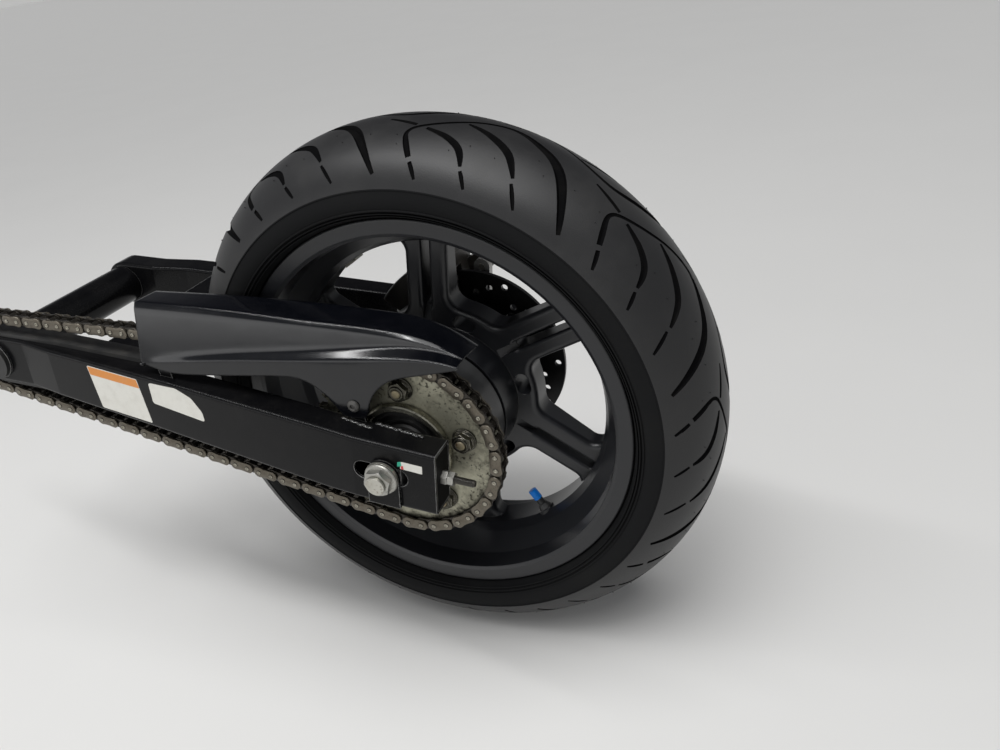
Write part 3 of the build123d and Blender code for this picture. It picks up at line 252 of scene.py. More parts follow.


# One row for each finish. grain and rings are (scale, height), dust and specks (color, amount, scale),
# edgeWearAndHighlight (color, amount, radius) along edges, which is real wear and, on the black arm and weld
# paint, a painted highlight, oil (color, amount) and crevice (color, reach), a painted shade with grime in the
# corners.
finishes = {
    "tyreRubber": dict(
        color=(0.0165, 0.0165, 0.0172), roughness=0.44, specular=0.34, grain=(900, 0.0001),
        dust=((0.048, 0.047, 0.045), 0.30, 9),
    ),
    # Groove walls and floors: the tread rubber darkened, a painted shade in the grooves
    "grooveShadedRubber": dict(
        color=(0.003, 0.003, 0.0033), roughness=0.8, specular=0.03, grain=(900, 0.0001),
        dust=((0.02, 0.019, 0.017), 0.2, 30),
    ),
    # Sidewall: the tread rubber darkened, a painted shade of the light that falls on the crown from above; it is
    # also less glossy
    "sidewallShadedRubber": dict(
        color=(0.0065, 0.0067, 0.0072), roughness=0.72, specular=0.10, grain=(900, 0.0001),
        dust=((0.020, 0.0195, 0.018), 0.3, 9), crevice=((0.0012, 0.0012, 0.0013), 0.0025),
    ),
    # Sprocket carrier: the wheel's black paint given a lighter color, a painted sheen, with more gloss
    "carrierSheenPaint": dict(
        color=(0.050, 0.051, 0.052), roughness=0.40, metallic=0.25, specular=1, grain=(420, 0.00005),
        dust=((0.05, 0.047, 0.042), 0.25, 22), edgeWearAndHighlight=((0.06, 0.06, 0.06), 0.4, 0.0016),
    ),
    "wheelPaint": dict(
        color=(0.008, 0.0085, 0.0105), roughness=0.37, grain=(420, 0.00005),
        dust=((0.035, 0.034, 0.032), 0.06, 22), edgeWearAndHighlight=((0.03, 0.03, 0.031), 0.35, 0.0016),
        crevice=((0.0015, 0.0015, 0.002), 0.010),
    ),
    # Black arm paint; its pale edge color is a painted highlight along the edges
    "armPaint": dict(
        color=(0.0035, 0.0035, 0.004), roughness=0.27, specular=0.15, grain=(260, 0.00003),
        dust=((0.022, 0.021, 0.020), 0.12, 26), specks=((0.08, 0.078, 0.07), 0.06, 520),
        edgeWearAndHighlight=((0.45, 0.45, 0.44), 0.9, 0.0016),
    ),
    "endPaint": dict(
        color=(0.0035, 0.0035, 0.004), roughness=0.6, specular=0.05, grain=(260, 0.00003),
        dust=((0.02, 0.019, 0.017), 0.3, 40), edgeWearAndHighlight=((0.22, 0.22, 0.21), 0.9, 0.0010),
    ),
    # Weld bead paint; its pale edge color is a painted highlight on the ripples
    "weldPaint": dict(
        color=(0.03, 0.03, 0.03), roughness=0.16, metallic=0.35, specular=0.9, grain=(700, 0.00008),
        dust=((0.12, 0.12, 0.115), 0.3, 160), edgeWearAndHighlight=((0.6, 0.6, 0.58), 0.8, 0.0009),
    ),
    "guardPlastic": dict(
        color=(0.0018, 0.0021, 0.0034), roughness=0.15, grain=(40, 0.00003),
        specks=((0.10, 0.10, 0.11), 0.07, 900), edgeWearAndHighlight=((0.012, 0.012, 0.014), 0.3, 0.0026),
    ),
    "sliderPlastic": dict(
        color=(0.016, 0.016, 0.016), roughness=0.55, grain=(300, 0.00008),
        dust=((0.07, 0.064, 0.055), 0.4, 40),
    ),
    "softRubber": dict(
        color=(0.014, 0.014, 0.014), roughness=0.5, grain=(500, 0.00005),
        dust=((0.06, 0.056, 0.05), 0.3, 60),
    ),
    "capPlastic": dict(
        color=(0, 0.17, 0.62), roughness=0.4, specular=0.3, grain=(700, 0.00004),
        dust=((0.1, 0.16, 0.22), 0.12, 120), edgeWearAndHighlight=((0.06, 0.30, 0.6), 0.5, 0.0004),
    ),
    "boltPlastic": dict(
        color=(0.05, 0.048, 0.045), roughness=0.5, grain=(500, 0.00005),
        dust=((0.13, 0.12, 0.105), 0.3, 90), edgeWearAndHighlight=((0.14, 0.135, 0.12), 0.5, 0.0006),
    ),
    "platedSteel": dict(
        color=(0.50, 0.49, 0.44), roughness=0.34, metallic=0.9, grain=(380, 0.00004),
        dust=((0.2, 0.17, 0.12), 0.5, 60), specks=((0.12, 0.07, 0.035), 0.5, 340),
        edgeWearAndHighlight=((0.75, 0.74, 0.70), 0.6, 0.0006), crevice=((0.02, 0.018, 0.014), 0.003),
    ),
    "nutSteel": dict(
        color=(0.062, 0.059, 0.046), roughness=0.24, metallic=0.9, grain=(420, 0.00004),
        dust=((0.025, 0.021, 0.015), 0.35, 90), specks=((0.03, 0.024, 0.018), 0.3, 420),
        edgeWearAndHighlight=((0.60, 0.57, 0.50), 1, 0.0007), crevice=((0.006, 0.005, 0.004), 0.004),
    ),
    "axleNutSteel": dict(
        color=(0.40, 0.395, 0.365), roughness=0.36, metallic=0.85, grain=(600, 0.00006),
        dust=((0.26, 0.25, 0.22), 0.6, 90), specks=((0.12, 0.11, 0.10), 0.5, 520),
        edgeWearAndHighlight=((0.75, 0.75, 0.73), 0.6, 0.0007), crevice=((0.05, 0.045, 0.035), 0.0025),
    ),
    "rustySteel": dict(
        color=(0.22, 0.19, 0.12), roughness=0.46, metallic=0.8, grain=(700, 0.00008),
        dust=((0.30, 0.26, 0.20), 0.6, 160), specks=((0.13, 0.045, 0.015), 0.95, 150),
        edgeWearAndHighlight=((0.66, 0.63, 0.55), 0.5, 0.0006),
    ),
    "threadSteel": dict(
        color=(0.055, 0.051, 0.045), roughness=0.38, metallic=0.85, grain=(600, 0.00004),
        dust=((0.05, 0.044, 0.036), 0.5, 120), edgeWearAndHighlight=((0.36, 0.35, 0.33), 0.5, 0.0003),
    ),
    "groundSteel": dict(
        color=(0.5, 0.5, 0.49), roughness=0.25, metallic=1, grain=(600, 0.00002),
        dust=((0.12, 0.1, 0.08), 0.5, 70),
    ),
    "bossSteel": dict(
        color=(0.34, 0.33, 0.27), roughness=0.26, metallic=0.95, rings=(500, 0.00003),
        dust=((0.07, 0.06, 0.045), 0.6, 40), specks=((0.03, 0.026, 0.02), 0.5, 300),
    ),
    "sprocketSteel": dict(
        color=(0.36, 0.35, 0.27), roughness=0.40, metallic=0.75, grain=(190, 0.0001),
        dust=((0.055, 0.050, 0.034), 0.9, 40), specks=((0.03, 0.026, 0.019), 0.9, 240),
        edgeWearAndHighlight=((0.5, 0.48, 0.42), 0.5, 0.0008), oil=((0.020, 0.017, 0.011), 1),
        crevice=((0.010, 0.009, 0.006), 0.006),
    ),
    "chainSteel": dict(
        color=(0.140, 0.124, 0.098), roughness=0.34, metallic=0.75, grain=(520, 0.00006),
        dust=((0.07, 0.055, 0.04), 0.7, 110), specks=((0.04, 0.032, 0.025), 0.55, 520),
        edgeWearAndHighlight=((0.50, 0.46, 0.39), 0.6, 0.0005), crevice=((0.008, 0.007, 0.005), 0.0022),
    ),
    "chainPin": dict(
        color=(0.36, 0.34, 0.28), roughness=0.32, metallic=0.9, grain=(700, 0.00004),
        dust=((0.06, 0.05, 0.035), 0.6, 140), edgeWearAndHighlight=((0.62, 0.58, 0.5), 0.6, 0.0003),
        crevice=((0.010, 0.008, 0.006), 0.0016),
    ),
    "chainDark": dict(
        color=(0.045, 0.040, 0.034), roughness=0.30, metallic=0.7, grain=(420, 0.00008),
        dust=((0.02, 0.017, 0.013), 0.7, 110), edgeWearAndHighlight=((0.22, 0.2, 0.17), 0.5, 0.0005),
    ),
    "discSteel": dict(
        color=(0.03, 0.03, 0.031), roughness=0.42, metallic=0.8, rings=(900, 0.00006),
        dust=((0.06, 0.05, 0.045), 0.4, 50), edgeWearAndHighlight=((0.3, 0.3, 0.3), 0.4, 0.0005),
    ),
    "darkSteel": dict(
        color=(0.06, 0.06, 0.062), roughness=0.4, metallic=0.85, grain=(420, 0.00004),
        dust=((0.12, 0.1, 0.08), 0.4, 70), edgeWearAndHighlight=((0.3, 0.29, 0.27), 0.5, 0.0005),
    ),
    "caliperPaint": dict(
        color=(0.035, 0.032, 0.028), roughness=0.4, grain=(300, 0.0001),
        dust=((0.13, 0.11, 0.09), 0.5, 40), edgeWearAndHighlight=((0.09, 0.085, 0.08), 0.4, 0.0016),
    ),
    "castAlloy": dict(
        color=(0.42, 0.42, 0.41), roughness=0.46, metallic=0.85, grain=(330, 0.00012),
        dust=((0.16, 0.14, 0.11), 0.55, 40), edgeWearAndHighlight=((0.6, 0.6, 0.58), 0.4, 0.001),
    ),
    "padLining": dict(
        color=(0.05, 0.047, 0.045), roughness=0.8, metallic=0.3, grain=(700, 0.0002),
        dust=((0.15, 0.12, 0.1), 0.4, 90),
    ),
    "labelWhite": dict(
        color=(0.66, 0.65, 0.60), roughness=0.42, grain=(900, 0.00002),
        dust=((0.40, 0.38, 0.33), 0.4, 60), edgeWearAndHighlight=((0.45, 0.42, 0.36), 0.5, 0.0005),
    ),
}
for name, color, dustColor, scale in (
    ("labelOrange", (0.62, 0.22, 0.03), (0.45, 0.28, 0.14), 60),
    ("labelGreen", (0.03, 0.36, 0.24), (0.2, 0.4, 0.32), 120),
    ("labelRed", (0.55, 0.05, 0.05), (0.5, 0.2, 0.18), 120),
):
    finishes[name] = dict(color=color, roughness=0.42, grain=(900, 0.00002), dust=(dustColor, 0.35, scale))


def buildFinish(name, look):
    material = bpy.data.materials.new(name)
    material.use_nodes = True
    tree = material.node_tree
    shader = tree.nodes["Principled BSDF"]
    shader.inputs["Metallic"].default_value = look.get("metallic", 0.0)
    shader.inputs["Specular IOR Level"].default_value = look.get("specular", 0.5)
    if "dust" in look:
        dust = placeGroup(tree, dustGroup, look["color"], *look["dust"])
        color, uneven = dust["Color"], dust["Mask"]
        rise, below = effects["dustRoughness"]
    else:
        color, uneven = look["color"], objectNoise(tree, effects["plainScale"], 3.0)
        rise, below = effects["plainRoughness"]
    roughness = mathNode(tree, "MULTIPLY_ADD", uneven, rise, look["roughness"] - below)
    for effect, group in (("specks", speckGroup), ("oil", oilGroup)):
        if effect in look:
            color = placeGroup(tree, group, color, *look[effect])["Color"]
    bump = tree.nodes.new("ShaderNodeBump")
    # Edge color: real wear on worn edges, and on the black arm and weld paint a painted highlight along the edges
    if "edgeWearAndHighlight" in look:
        wearAndHighlightColor, amount, radius = look["edgeWearAndHighlight"]
        edge = placeGroup(tree, edgeGroup, radius)
        wornAndHighlit = mathNode(tree, "MULTIPLY", edge["Edge"], objectNoise(tree, effects["edgeWearAndHighlightScale"]))
        color = mixColor(tree, mathNode(tree, "MULTIPLY", wornAndHighlit, 2 * amount, clamp=True), color, wearAndHighlightColor)
        tree.links.new(edge["Normal"], bump.inputs["Normal"])
    if "crevice" in look:
        # Painted corner shade with grime, from how closed in each place is
        color = placeGroup(tree, creviceShadeGroup, color, *look["crevice"])["Color"]
    if "rings" in look:
        scale, height = look["rings"]
        relief = placeGroup(tree, turnedGroup, scale)["Height"]
    else:
        scale, height = look["grain"]
        relief = objectNoise(tree, scale, 3.0)
    for label, value in (("Strength", 1.0), ("Distance", height), ("Height", relief)):
        setSocket(tree, bump.inputs[label], value)
    tree.links.new(bump.outputs["Normal"], shader.inputs["Normal"])
    tree.links.new(color, shader.inputs["Base Color"])
    tree.links.new(roughness, shader.inputs["Roughness"])
    return material


materials = {name: buildFinish(name, look) for name, look in finishes.items()}
print("finishes made:", len(materials))

# The finish of each CAD node
nodeFinish = {
    "tyreRubber": ["tyre"],
    "wheelPaint": ["wheel_casting"],
    "carrierSheenPaint": ["sprocket_carrier"],
    "endPaint": ["arm_end_plates"],
    "armPaint": [
        "left_arm", "right_arm", "pivot_tube", "cross_member", "linkage_lugs",
        "index_plates", "bracket_anchor", "guard_tab",
    ],
    "guardPlastic": ["chain_guard"],
    "sliderPlastic": ["chain_slider"],
    "softRubber": ["tyre_valve", "hub_seals", "pivot_seals"],
    "capPlastic": ["valve_cap"],
    "platedSteel": [
        "balance_weight", "sprocket_studs", "sprocket_nuts", "pivot_collar", "rear_axle", "axle_nut",
        "axle_washers", "adjuster_studs", "adjuster_nuts", "guide_pins", "guard_bolts", "bleed_screw",
    ],
    "groundSteel": ["wheel_bearings", "pivot_bearings"],
    "sprocketSteel": ["rear_sprocket", "front_sprocket"],
    "chainSteel": ["drive_chain"],
    "discSteel": ["brake_disc"],
    "darkSteel": ["disc_bolts"],
    "caliperPaint": ["caliper_body"],
    "castAlloy": ["caliper_bracket", "axle_spacers", "adjuster_blocks"],
    "padLining": ["brake_pads"],
}
for finish, names in nodeFinish.items():
    for name in names:
        slots = nodes[name].material_slots
        if not slots:
            nodes[name].data.materials.append(materials[finish])
        for slot in slots:
            slot.material = materials[finish]


# Tools that the pieces share. Lengths in the tables are millimetres.

def allOf(mesh):
    return list(mesh.verts) + list(mesh.edges) + list(mesh.faces)


def shift(mesh, place):
    bmesh.ops.translate(mesh, verts=mesh.verts, vec=place)


def merge(mesh):
    bmesh.ops.remove_doubles(mesh, verts=mesh.verts, dist=1e-6)


def faceOut(mesh):
    bmesh.ops.recalc_face_normals(mesh, faces=mesh.faces)
    return mesh


def aimLeft(mesh):
    # Turns what points up so that it points to the left, along the axle
    bmesh.ops.rotate(mesh, verts=mesh.verts, cent=(0, 0, 0), matrix=Matrix.Rotation(math.pi / 2, 3, "X"))


def raiseFaces(mesh, across):
    # Extrudes every face, moves the new ones across, and gives them back
    slab = bmesh.ops.extrude_face_region(mesh, geom=list(mesh.faces))["geom"]
    raised = [item for item in slab if isinstance(item, bmesh.types.BMVert)]
    bmesh.ops.translate(mesh, verts=raised, vec=(0, across / 1000, 0))
    return [item for item in slab if isinstance(item, bmesh.types.BMFace)]


def turnedBy(angle):
    return Matrix.Rotation(math.radians(angle), 4, "Y")


def aimedAt(direction, axis="Z", up="Y"):
    return direction.to_track_quat(axis, up).to_matrix().to_4x4()


def meshData(mesh, name):
    data = bpy.data.meshes.new(name)
    mesh.to_mesh(data)
    return data


def addObject(name, data):
    item = bpy.data.objects.new(name, data)
    bpy.context.scene.collection.objects.link(item)
    return item


def turned(profile, steps=32, closed=False):
    # A shape turned about the Y axis from (radius, distance to the left)
    mesh = bmesh.new()
    corners = [mesh.verts.new((radius / 1000, -left / 1000, 0)) for radius, left in profile]
    pairs = list(zip(corners, corners[1:]))
    if closed:
        pairs.append((corners[-1], corners[0]))
    edges = [mesh.edges.new(pair) for pair in pairs]
    bmesh.ops.spin(
        mesh, geom=corners + edges, cent=(0, 0, 0), axis=(0, 1, 0), angle=2 * math.pi, steps=steps, use_merge=True
    )
    merge(mesh)
    return faceOut(mesh)


def hexNut(flats, low, high, chamfer):
    # A hexagon from low to high, its upper corners cut back at 30 degrees
    mesh = bmesh.new()
    reach = flats / 2 / math.cos(math.pi / 6) / 1000
    bmesh.ops.create_cone(
        mesh, cap_ends=True, segments=6, radius1=reach, radius2=reach, depth=(high - low) / 1000
    )
    for top in [vert.co.copy() for vert in mesh.verts if vert.co.z > 0]:
        outward = Vector((top.x, top.y, 0)).normalized()
        cut = bmesh.ops.bisect_plane(
            mesh, geom=allOf(mesh), plane_co=top - outward * chamfer / 1000,
            plane_no=outward * 0.5 + Vector((0, 0, 0.866)), clear_outer=True,
        )
        rim = [item for item in cut["geom_cut"] if isinstance(item, bmesh.types.BMEdge)]
        bmesh.ops.contextual_create(mesh, geom=rim)
    shift(mesh, (0, 0, (high + low) / 2000))
    aimLeft(mesh)
    return faceOut(mesh)


def stamp(target, source, place):
    # Adds a copy of a small shape to a larger one
    data = meshData(source, "stamp")
    data.transform(place)
    target.from_mesh(data)
    bpy.data.meshes.remove(data)


def finishPiece(mesh, name, finish, body, replaced=(), angle=32):
    data = meshData(mesh, name)
    mesh.free()
    data.shade_smooth()
    data.set_sharp_from_angle(angle=math.radians(angle))
    data.materials.append(materials[finish])
    piece = addObject(name, data)
    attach(piece, body)
    if replaced:
        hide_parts(*replaced)
    return piece


def polar(length, angle):
    return Vector((length * math.cos(math.radians(angle)), 0, length * math.sin(math.radians(angle))))


def onWheel(radius, angle, across=0.0):
    # A place given by its distance from the axle, its angle over the rear level, and across
    return wheelCentre + (polar(radius, angle) + Vector((0, across, 0))) / 1000


# Tyre with its tread
tyre = {
    "crownTop": 312.4,
    "crownRadius": 85.5,
    "crownEdge": (261.5, 78.2),
    "crownSteps": 20,
    "aroundSteps": 216,
    "sharpAngle": 28,
    "side": [
        # radius, distance across: from the crown's edge to the bead and back along the inside
        (260.4, 78.7), (259.8, 78), (255, 79), (250, 79.5), (245, 79.1), (241.4, 78),
        (240.7, 79.3), (239.6, 79.2), (239, 77.3), (237.9, 76.6), (237.2, 78.2), (236.2, 78),
        (235.7, 76), (234.8, 75), (234.2, 76.4), (233.3, 76), (232.7, 73.6), (231.6, 71.2),
        (230.4, 68.5), (229.4, 63.2), (217.8, 63.2), (215.95, 61.2), (215.95, 50.2), (225, 51.2),
        (250, 69), (276, 60), (292, 34.5), (301.4, 0),
    ],
    "treadPitches": 9,
    "rightShift": 20,
    "lift": 0.25,  # how far the cutter's middle lies above the rubber, as a share of its radius
    "widen": 1.42,
    "grooveDepth": 0.35,  # below this the rubber is a groove's
    "grooves": [
        # angle, distance across, half width
        [
            (43.7, -60.5, 2.2), (44.5, -53.9, 2.6), (45.6, -43.2, 2.2), (45.8, -36.8, 1.7), (45, -30.3, 1.5),
            (42.6, -24.8, 1.4), (38.2, -15.4, 1.4), (34.2, -4.6, 1.5), (29.1, 3.9, 1.9), (26, 0.3, 2.6),
            (22.6, -9, 3.3), (19.1, -18.5, 3.9), (16.4, -32.3, 4.2), (14.6, -46, 3.8), (12.6, -60, 2.8),
            (10.7, -71.3, 1.6),
        ],
        [(43.2, -63.6, 1.6), (42.3, -68.4, 2.2), (41.5, -73.4, 1.1)],
        [(50.7, -14.6, 1), (47.6, -20, 1.9), (44.6, -25.4, 1.5)],
        [
            (42.4, -29.8, 1.4), (40.2, -33.6, 2.2), (37.9, -37.6, 2.8), (35.1, -45.4, 3), (33.7, -54.6, 2.6),
            (33.2, -61, 1.3),
        ],
        [(32.9, -63.6, 1.3), (32, -68.2, 2), (31.1, -73, 1)],
        [
            (35.6, -13.2, 1.2), (33.4, -17.2, 2.2), (31.2, -21.9, 2.9), (26.9, -34, 3.2), (24.9, -44.3, 3),
            (23.3, -56, 1.3),
        ],
        [(23.1, -59.6, 1.2), (21.8, -66.4, 2), (20.5, -73, 1)],
    ],
    "nubs": [
        # angle, distance across
        (46.8, -50), (47.4, -40), (36.4, -50.5), (33, -42), (28, -46), (18.9, -42), (13, -38),
        (21, -30),
    ],
    "nubRadii": (0.7, 0.4),
    "nubHeight": 1.1,
}
crownCentre = tyre["crownTop"] - tyre["crownRadius"]


def crownPlace(angle, across, out=0.0):
    lean = math.asin(across / tyre["crownRadius"])
    reach = tyre["crownRadius"] + out
    return onWheel(crownCentre + reach * math.cos(lean), angle, reach * math.sin(lean))


def treadSides():
    # Each repeat of the pattern on the left, and its mirror image on the right
    for repeat in range(tyre["treadPitches"]):
        turn = repeat * 360.0 / tyre["treadPitches"]
        yield turn, 1
        yield turn + tyre["rightShift"], -1


def makeTyreBody():
    mesh = bmesh.new()
    edgeRadius, edgeAcross = tyre["crownEdge"]
    sweep = math.atan2(edgeAcross, edgeRadius - crownCentre)
    last = mesh.verts.new((edgeRadius / 1000, edgeAcross / 1000, 0))
    bmesh.ops.spin(
        mesh, geom=[last], cent=(crownCentre / 1000, 0, 0), axis=(0, 0, 1), angle=-sweep, steps=tyre["crownSteps"]
    )
    for radius, across in tyre["side"]:
        corner = mesh.verts.new((radius / 1000, across / 1000, 0))
        mesh.edges.new((last, corner))
        last = corner
    bmesh.ops.spin(
        mesh, geom=list(mesh.verts) + list(mesh.edges), cent=(0, 0, 0), axis=(0, 1, 0), angle=2 * math.pi,
        steps=tyre["aroundSteps"], use_merge=True,
    )
    merge(mesh)
    bmesh.ops.mirror(mesh, geom=allOf(mesh), axis="Y", merge_dist=1e-5)
    merge(mesh)
    shift(faceOut(mesh), wheelCentre)
    return mesh


def makeGrooveLines():
    curve = bpy.data.curves.new("grooveLines", "CURVE")
    curve.dimensions = "3D"
    curve.bevel_depth = 0.001
    curve.bevel_resolution = 1
    curve.use_fill_caps = True
    curve.resolution_u = 3
    for turn, side in treadSides():
        for groove in tyre["grooves"]:
            spline = curve.splines.new("NURBS")
            spline.points.add(len(groove) - 1)
            for point, (angle, across, halfWidth) in zip(spline.points, groove):
                reach = tyre["widen"] * halfWidth
                point.co = (*crownPlace(turn + angle, side * across, tyre["lift"] * reach), 1.0)
                point.radius = reach
            spline.order_u = 3
            spline.use_endpoint_u = True
    return addObject("grooveLines", curve)


def liveMesh(item):
    view = bpy.context.evaluated_depsgraph_get()
    return bpy.data.meshes.new_from_object(item.evaluated_get(view))


def cutGrooves(piece):
    lines = makeGrooveLines()
    mesh = bmesh.new()
    mesh.from_mesh(liveMesh(lines))
    merge(mesh)
    cutter = addObject("grooveCutter", meshData(faceOut(mesh), "grooveCutter"))
    mesh.free()
    cut = piece.modifiers.new("grooves", "BOOLEAN")
    cut.operation = "DIFFERENCE"
    cut.object = cutter
    cut.solver = "MANIFOLD"
    data = liveMesh(piece)
    piece.modifiers.clear()
    for item in (lines, cutter):
        bpy.data.objects.remove(item)
    return data


def addNubs(mesh):
    low, high = tyre["nubRadii"]
    nub = bmesh.new()
    bmesh.ops.create_cone(
        nub, cap_ends=True, segments=6, radius1=low / 1000, radius2=high / 1000, depth=2 * tyre["nubHeight"] / 1000
    )
    for turn, side in treadSides():
        for angle, across in tyre["nubs"]:
            foot = crownPlace(turn + angle, side * across)
            outward = crownPlace(turn + angle, side * across, 1.0) - foot
            stamp(mesh, nub, Matrix.Translation(foot) @ aimedAt(outward))
    nub.free()


def makeTyre():
    piece = finishPiece(
        makeTyreBody(), "tyreTread", "tyreRubber", "wheel", ["tyre"], tyre["sharpAngle"]
    )
    mesh = bmesh.new()
    mesh.from_mesh(cutGrooves(piece))
    addNubs(mesh)
    edgeRadius, edgeAcross = tyre["crownEdge"]
    for face in mesh.faces:
        middle = 1000 * (face.calc_center_median() - wheelCentre)
        across, radius = middle.y, math.hypot(middle.x, middle.z)
        depth = tyre["crownRadius"] - math.hypot(across, radius - crownCentre)
        # Faces on the sidewall take the sidewall's painted shade, faces sunk in the grooves the grooves' painted
        # shade
        if abs(across) > edgeAcross or radius < edgeRadius:
            face.material_index = 1
        elif depth > tyre["grooveDepth"]:
            face.material_index = 2
    mesh.to_mesh(piece.data)
    mesh.free()
    for finish in ("sidewallShadedRubber", "grooveShadedRubber"):
        piece.data.materials.append(materials[finish])
    piece.data.shade_smooth()
    piece.data.set_sharp_from_angle(angle=math.radians(tyre["sharpAngle"]))
    print("tyre made:", len(piece.data.polygons), "faces")


makeTyre()


# Drive chain: side plates, rollers and riveted pins
chain = {
    "pitch": 15.875,
    "links": 110,
    "rearTeeth": 40,
    "frontTeeth": 16,
    "lineAngle": 8.6,
    "firstPin": -99.6,
    "line": -117,
    "outerPlate": (7, 7.1, 9.4),  # half height, near and far side
    "innerPlate": (7.3, 4.3, 6.5),
    "plateSteps": 14,
    "plateEdge": (0.5, 0.3),
    "waist": 0.87,
    "waistReach": 1.6,
    "pin": [(0, 10.2), (0.9, 10.2), (1.2, 10.7), (2, 10.7), (2.5, 10.2), (2.5, 6.6), (0, 6.6)],
    "roller": [(2.6, -4.2), (5, -4.2), (5, 4.2), (2.6, 4.2)],
    "seal": [(3.4, 6.5), (4.4, 6.5), (4.4, 7.1), (3.4, 7.1)],
    "greaseRing": [(2.3, 9.5), (3.3, 9.5), (3.1, 9.85), (2.3, 9.95)],
}


def chainPath():
    # Pitch radii of both sprockets, lean and length in pitches of the straight runs, shaft distance
    pitch = chain["pitch"]
    rear = pitch / 2 / math.sin(math.pi / chain["rearTeeth"])
    front = pitch / 2 / math.sin(math.pi / chain["frontTeeth"])
    lean = 0.0
    for attempt in range(20):
        arc = chain["rearTeeth"] * (180 + 2 * lean) / 360 + chain["frontTeeth"] * (180 - 2 * lean) / 360
        run = (chain["links"] - arc) * pitch / 2
        distance = math.hypot(run, rear - front)
        lean = math.degrees(math.asin((rear - front) / distance))
    return rear, front, lean, run / pitch, distance


def pinPlace(pin):
    rear, front, lean, run, distance = chainPath()
    pitch, first = chain["pitch"], chain["firstPin"]
    line = 180 - chain["lineAngle"]
    upper, lower = line - 90 + lean, line - 270 - lean
    rearStep, frontStep = 360 / chain["rearTeeth"], 360 / chain["frontTeeth"]
    shaft = polar(distance, line)
    upperStart = (upper - first) / rearStep
    frontStart = upperStart + run
    lowerStart = frontStart + (lower + 360 - upper) / frontStep
    if pin <= upperStart:
        place = polar(rear, first + pin * rearStep)
    elif pin <= frontStart:
        place = polar(rear, upper) + polar((pin - upperStart) * pitch, upper + 90)
    elif pin <= lowerStart:
        place = shaft + polar(front, upper + (pin - frontStart) * frontStep)
    elif pin <= lowerStart + run:
        place = shaft + polar(front, lower) + polar((pin - lowerStart) * pitch, lower + 90)
    else:
        place = polar(rear, first - (chain["links"] - pin) * rearStep)
    return wheelCentre + (place + Vector((0, chain["line"], 0))) / 1000


def mirroredPair(mesh):
    bmesh.ops.mirror(mesh, geom=allOf(mesh), axis="Y", merge_dist=1e-7)
    return faceOut(mesh)


def linkPlate(halfHeight, near, far):
    # A figure of eight from one pin to the next, as a slab on each side of the chain's line
    mesh = bmesh.new()
    bmesh.ops.create_circle(mesh, cap_ends=True, radius=halfHeight / 1000, segments=chain["plateSteps"])
    aimLeft(mesh)
    pitch = chain["pitch"] / 1000
    ahead = [vert for vert in mesh.verts if vert.co.x > 1e-6]
    bmesh.ops.translate(mesh, verts=ahead, vec=(pitch, 0, 0))
    long = [edge for edge in mesh.edges if edge.calc_length() > 0.6 * pitch]
    for vert in bmesh.ops.subdivide_edges(mesh, edges=long, cuts=3)["geom_inner"]:
        if isinstance(vert, bmesh.types.BMVert):
            nearness = 1 - abs(vert.co.x - pitch / 2) / (pitch / 2)
            vert.co.z *= 1 - (1 - chain["waist"]) * min(1.0, chain["waistReach"] * nearness)
    shift(mesh, (0, -near / 1000, 0))
    inset, rise = chain["plateEdge"]
    bmesh.ops.inset_region(mesh, faces=raiseFaces(mesh, near - far), thickness=inset / 1000, depth=rise / 1000)
    return mirroredPair(faceOut(mesh))


def makePlates(form, first):
    mesh, plate = bmesh.new(), linkPlate(*chain[form])
    for pin in range(first, chain["links"], 2):
        here, after = pinPlace(pin), pinPlace((pin + 1) % chain["links"])
        along = (after - here).normalized()
        side = Vector((0, 1, 0))
        turn = Matrix((along, side, along.cross(side))).transposed().to_4x4()
        stamp(mesh, plate, Matrix.Translation(here) @ turn)
    plate.free()
    return mesh


def makeChain():
    pin = mirroredPair(turned(chain["pin"], 10))
    roller = turned(chain["roller"], 12, True)
    seal = mirroredPair(turned(chain["seal"], 10, True))
    grease = mirroredPair(turned(chain["greaseRing"], 10, True))
    pins, rollers = bmesh.new(), bmesh.new()
    for number in range(chain["links"]):
        place = Matrix.Translation(pinPlace(number))
        stamp(pins, pin, place)
        for part in (grease, roller, seal):
            stamp(rollers, part, place)
    for part in (pin, roller, seal, grease):
        part.free()
    for mesh, name, finish, angle in (
        (makePlates("outerPlate", 0), "chainOuterPlates", "chainSteel", 40),
        (makePlates("innerPlate", 1), "chainInnerPlates", "chainDark", 40),
        (pins, "chainPins", "chainPin", 32),
        (rollers, "chainRollers", "chainDark", 32),
    ):
        finishPiece(mesh, name, finish, "swingarm", ["drive_chain"], angle)


makeChain()
print("chain made")


# Nuts, studs and the axle's end
studNut = {
    "count": 5,
    "circle": 70,
    "firstAngle": 11.75,
    "turnEach": 17,
    "seat": 120.6,
    "flats": 19.5,
    "washer": [(5.2, 0), (13, 0), (13, 1.6), (12.4, 2), (5.2, 2)],
    "flange": [(5.2, 2), (11.6, 2), (11.8, 3), (10.4, 4), (5.2, 4.2)],
    "hexagon": (3.6, 10.4, 2),
    "collar": [(5.1, 9.8), (8, 9.8), (8.1, 11.2), (7.6, 12.2), (6.6, 12.5), (5.4, 12.2), (5.1, 11.4)],
    "studEnd": [(0, 8), (5, 8), (5, 12.4), (4.2, 13.1), (2.2, 13.4), (0, 13.5)],
}


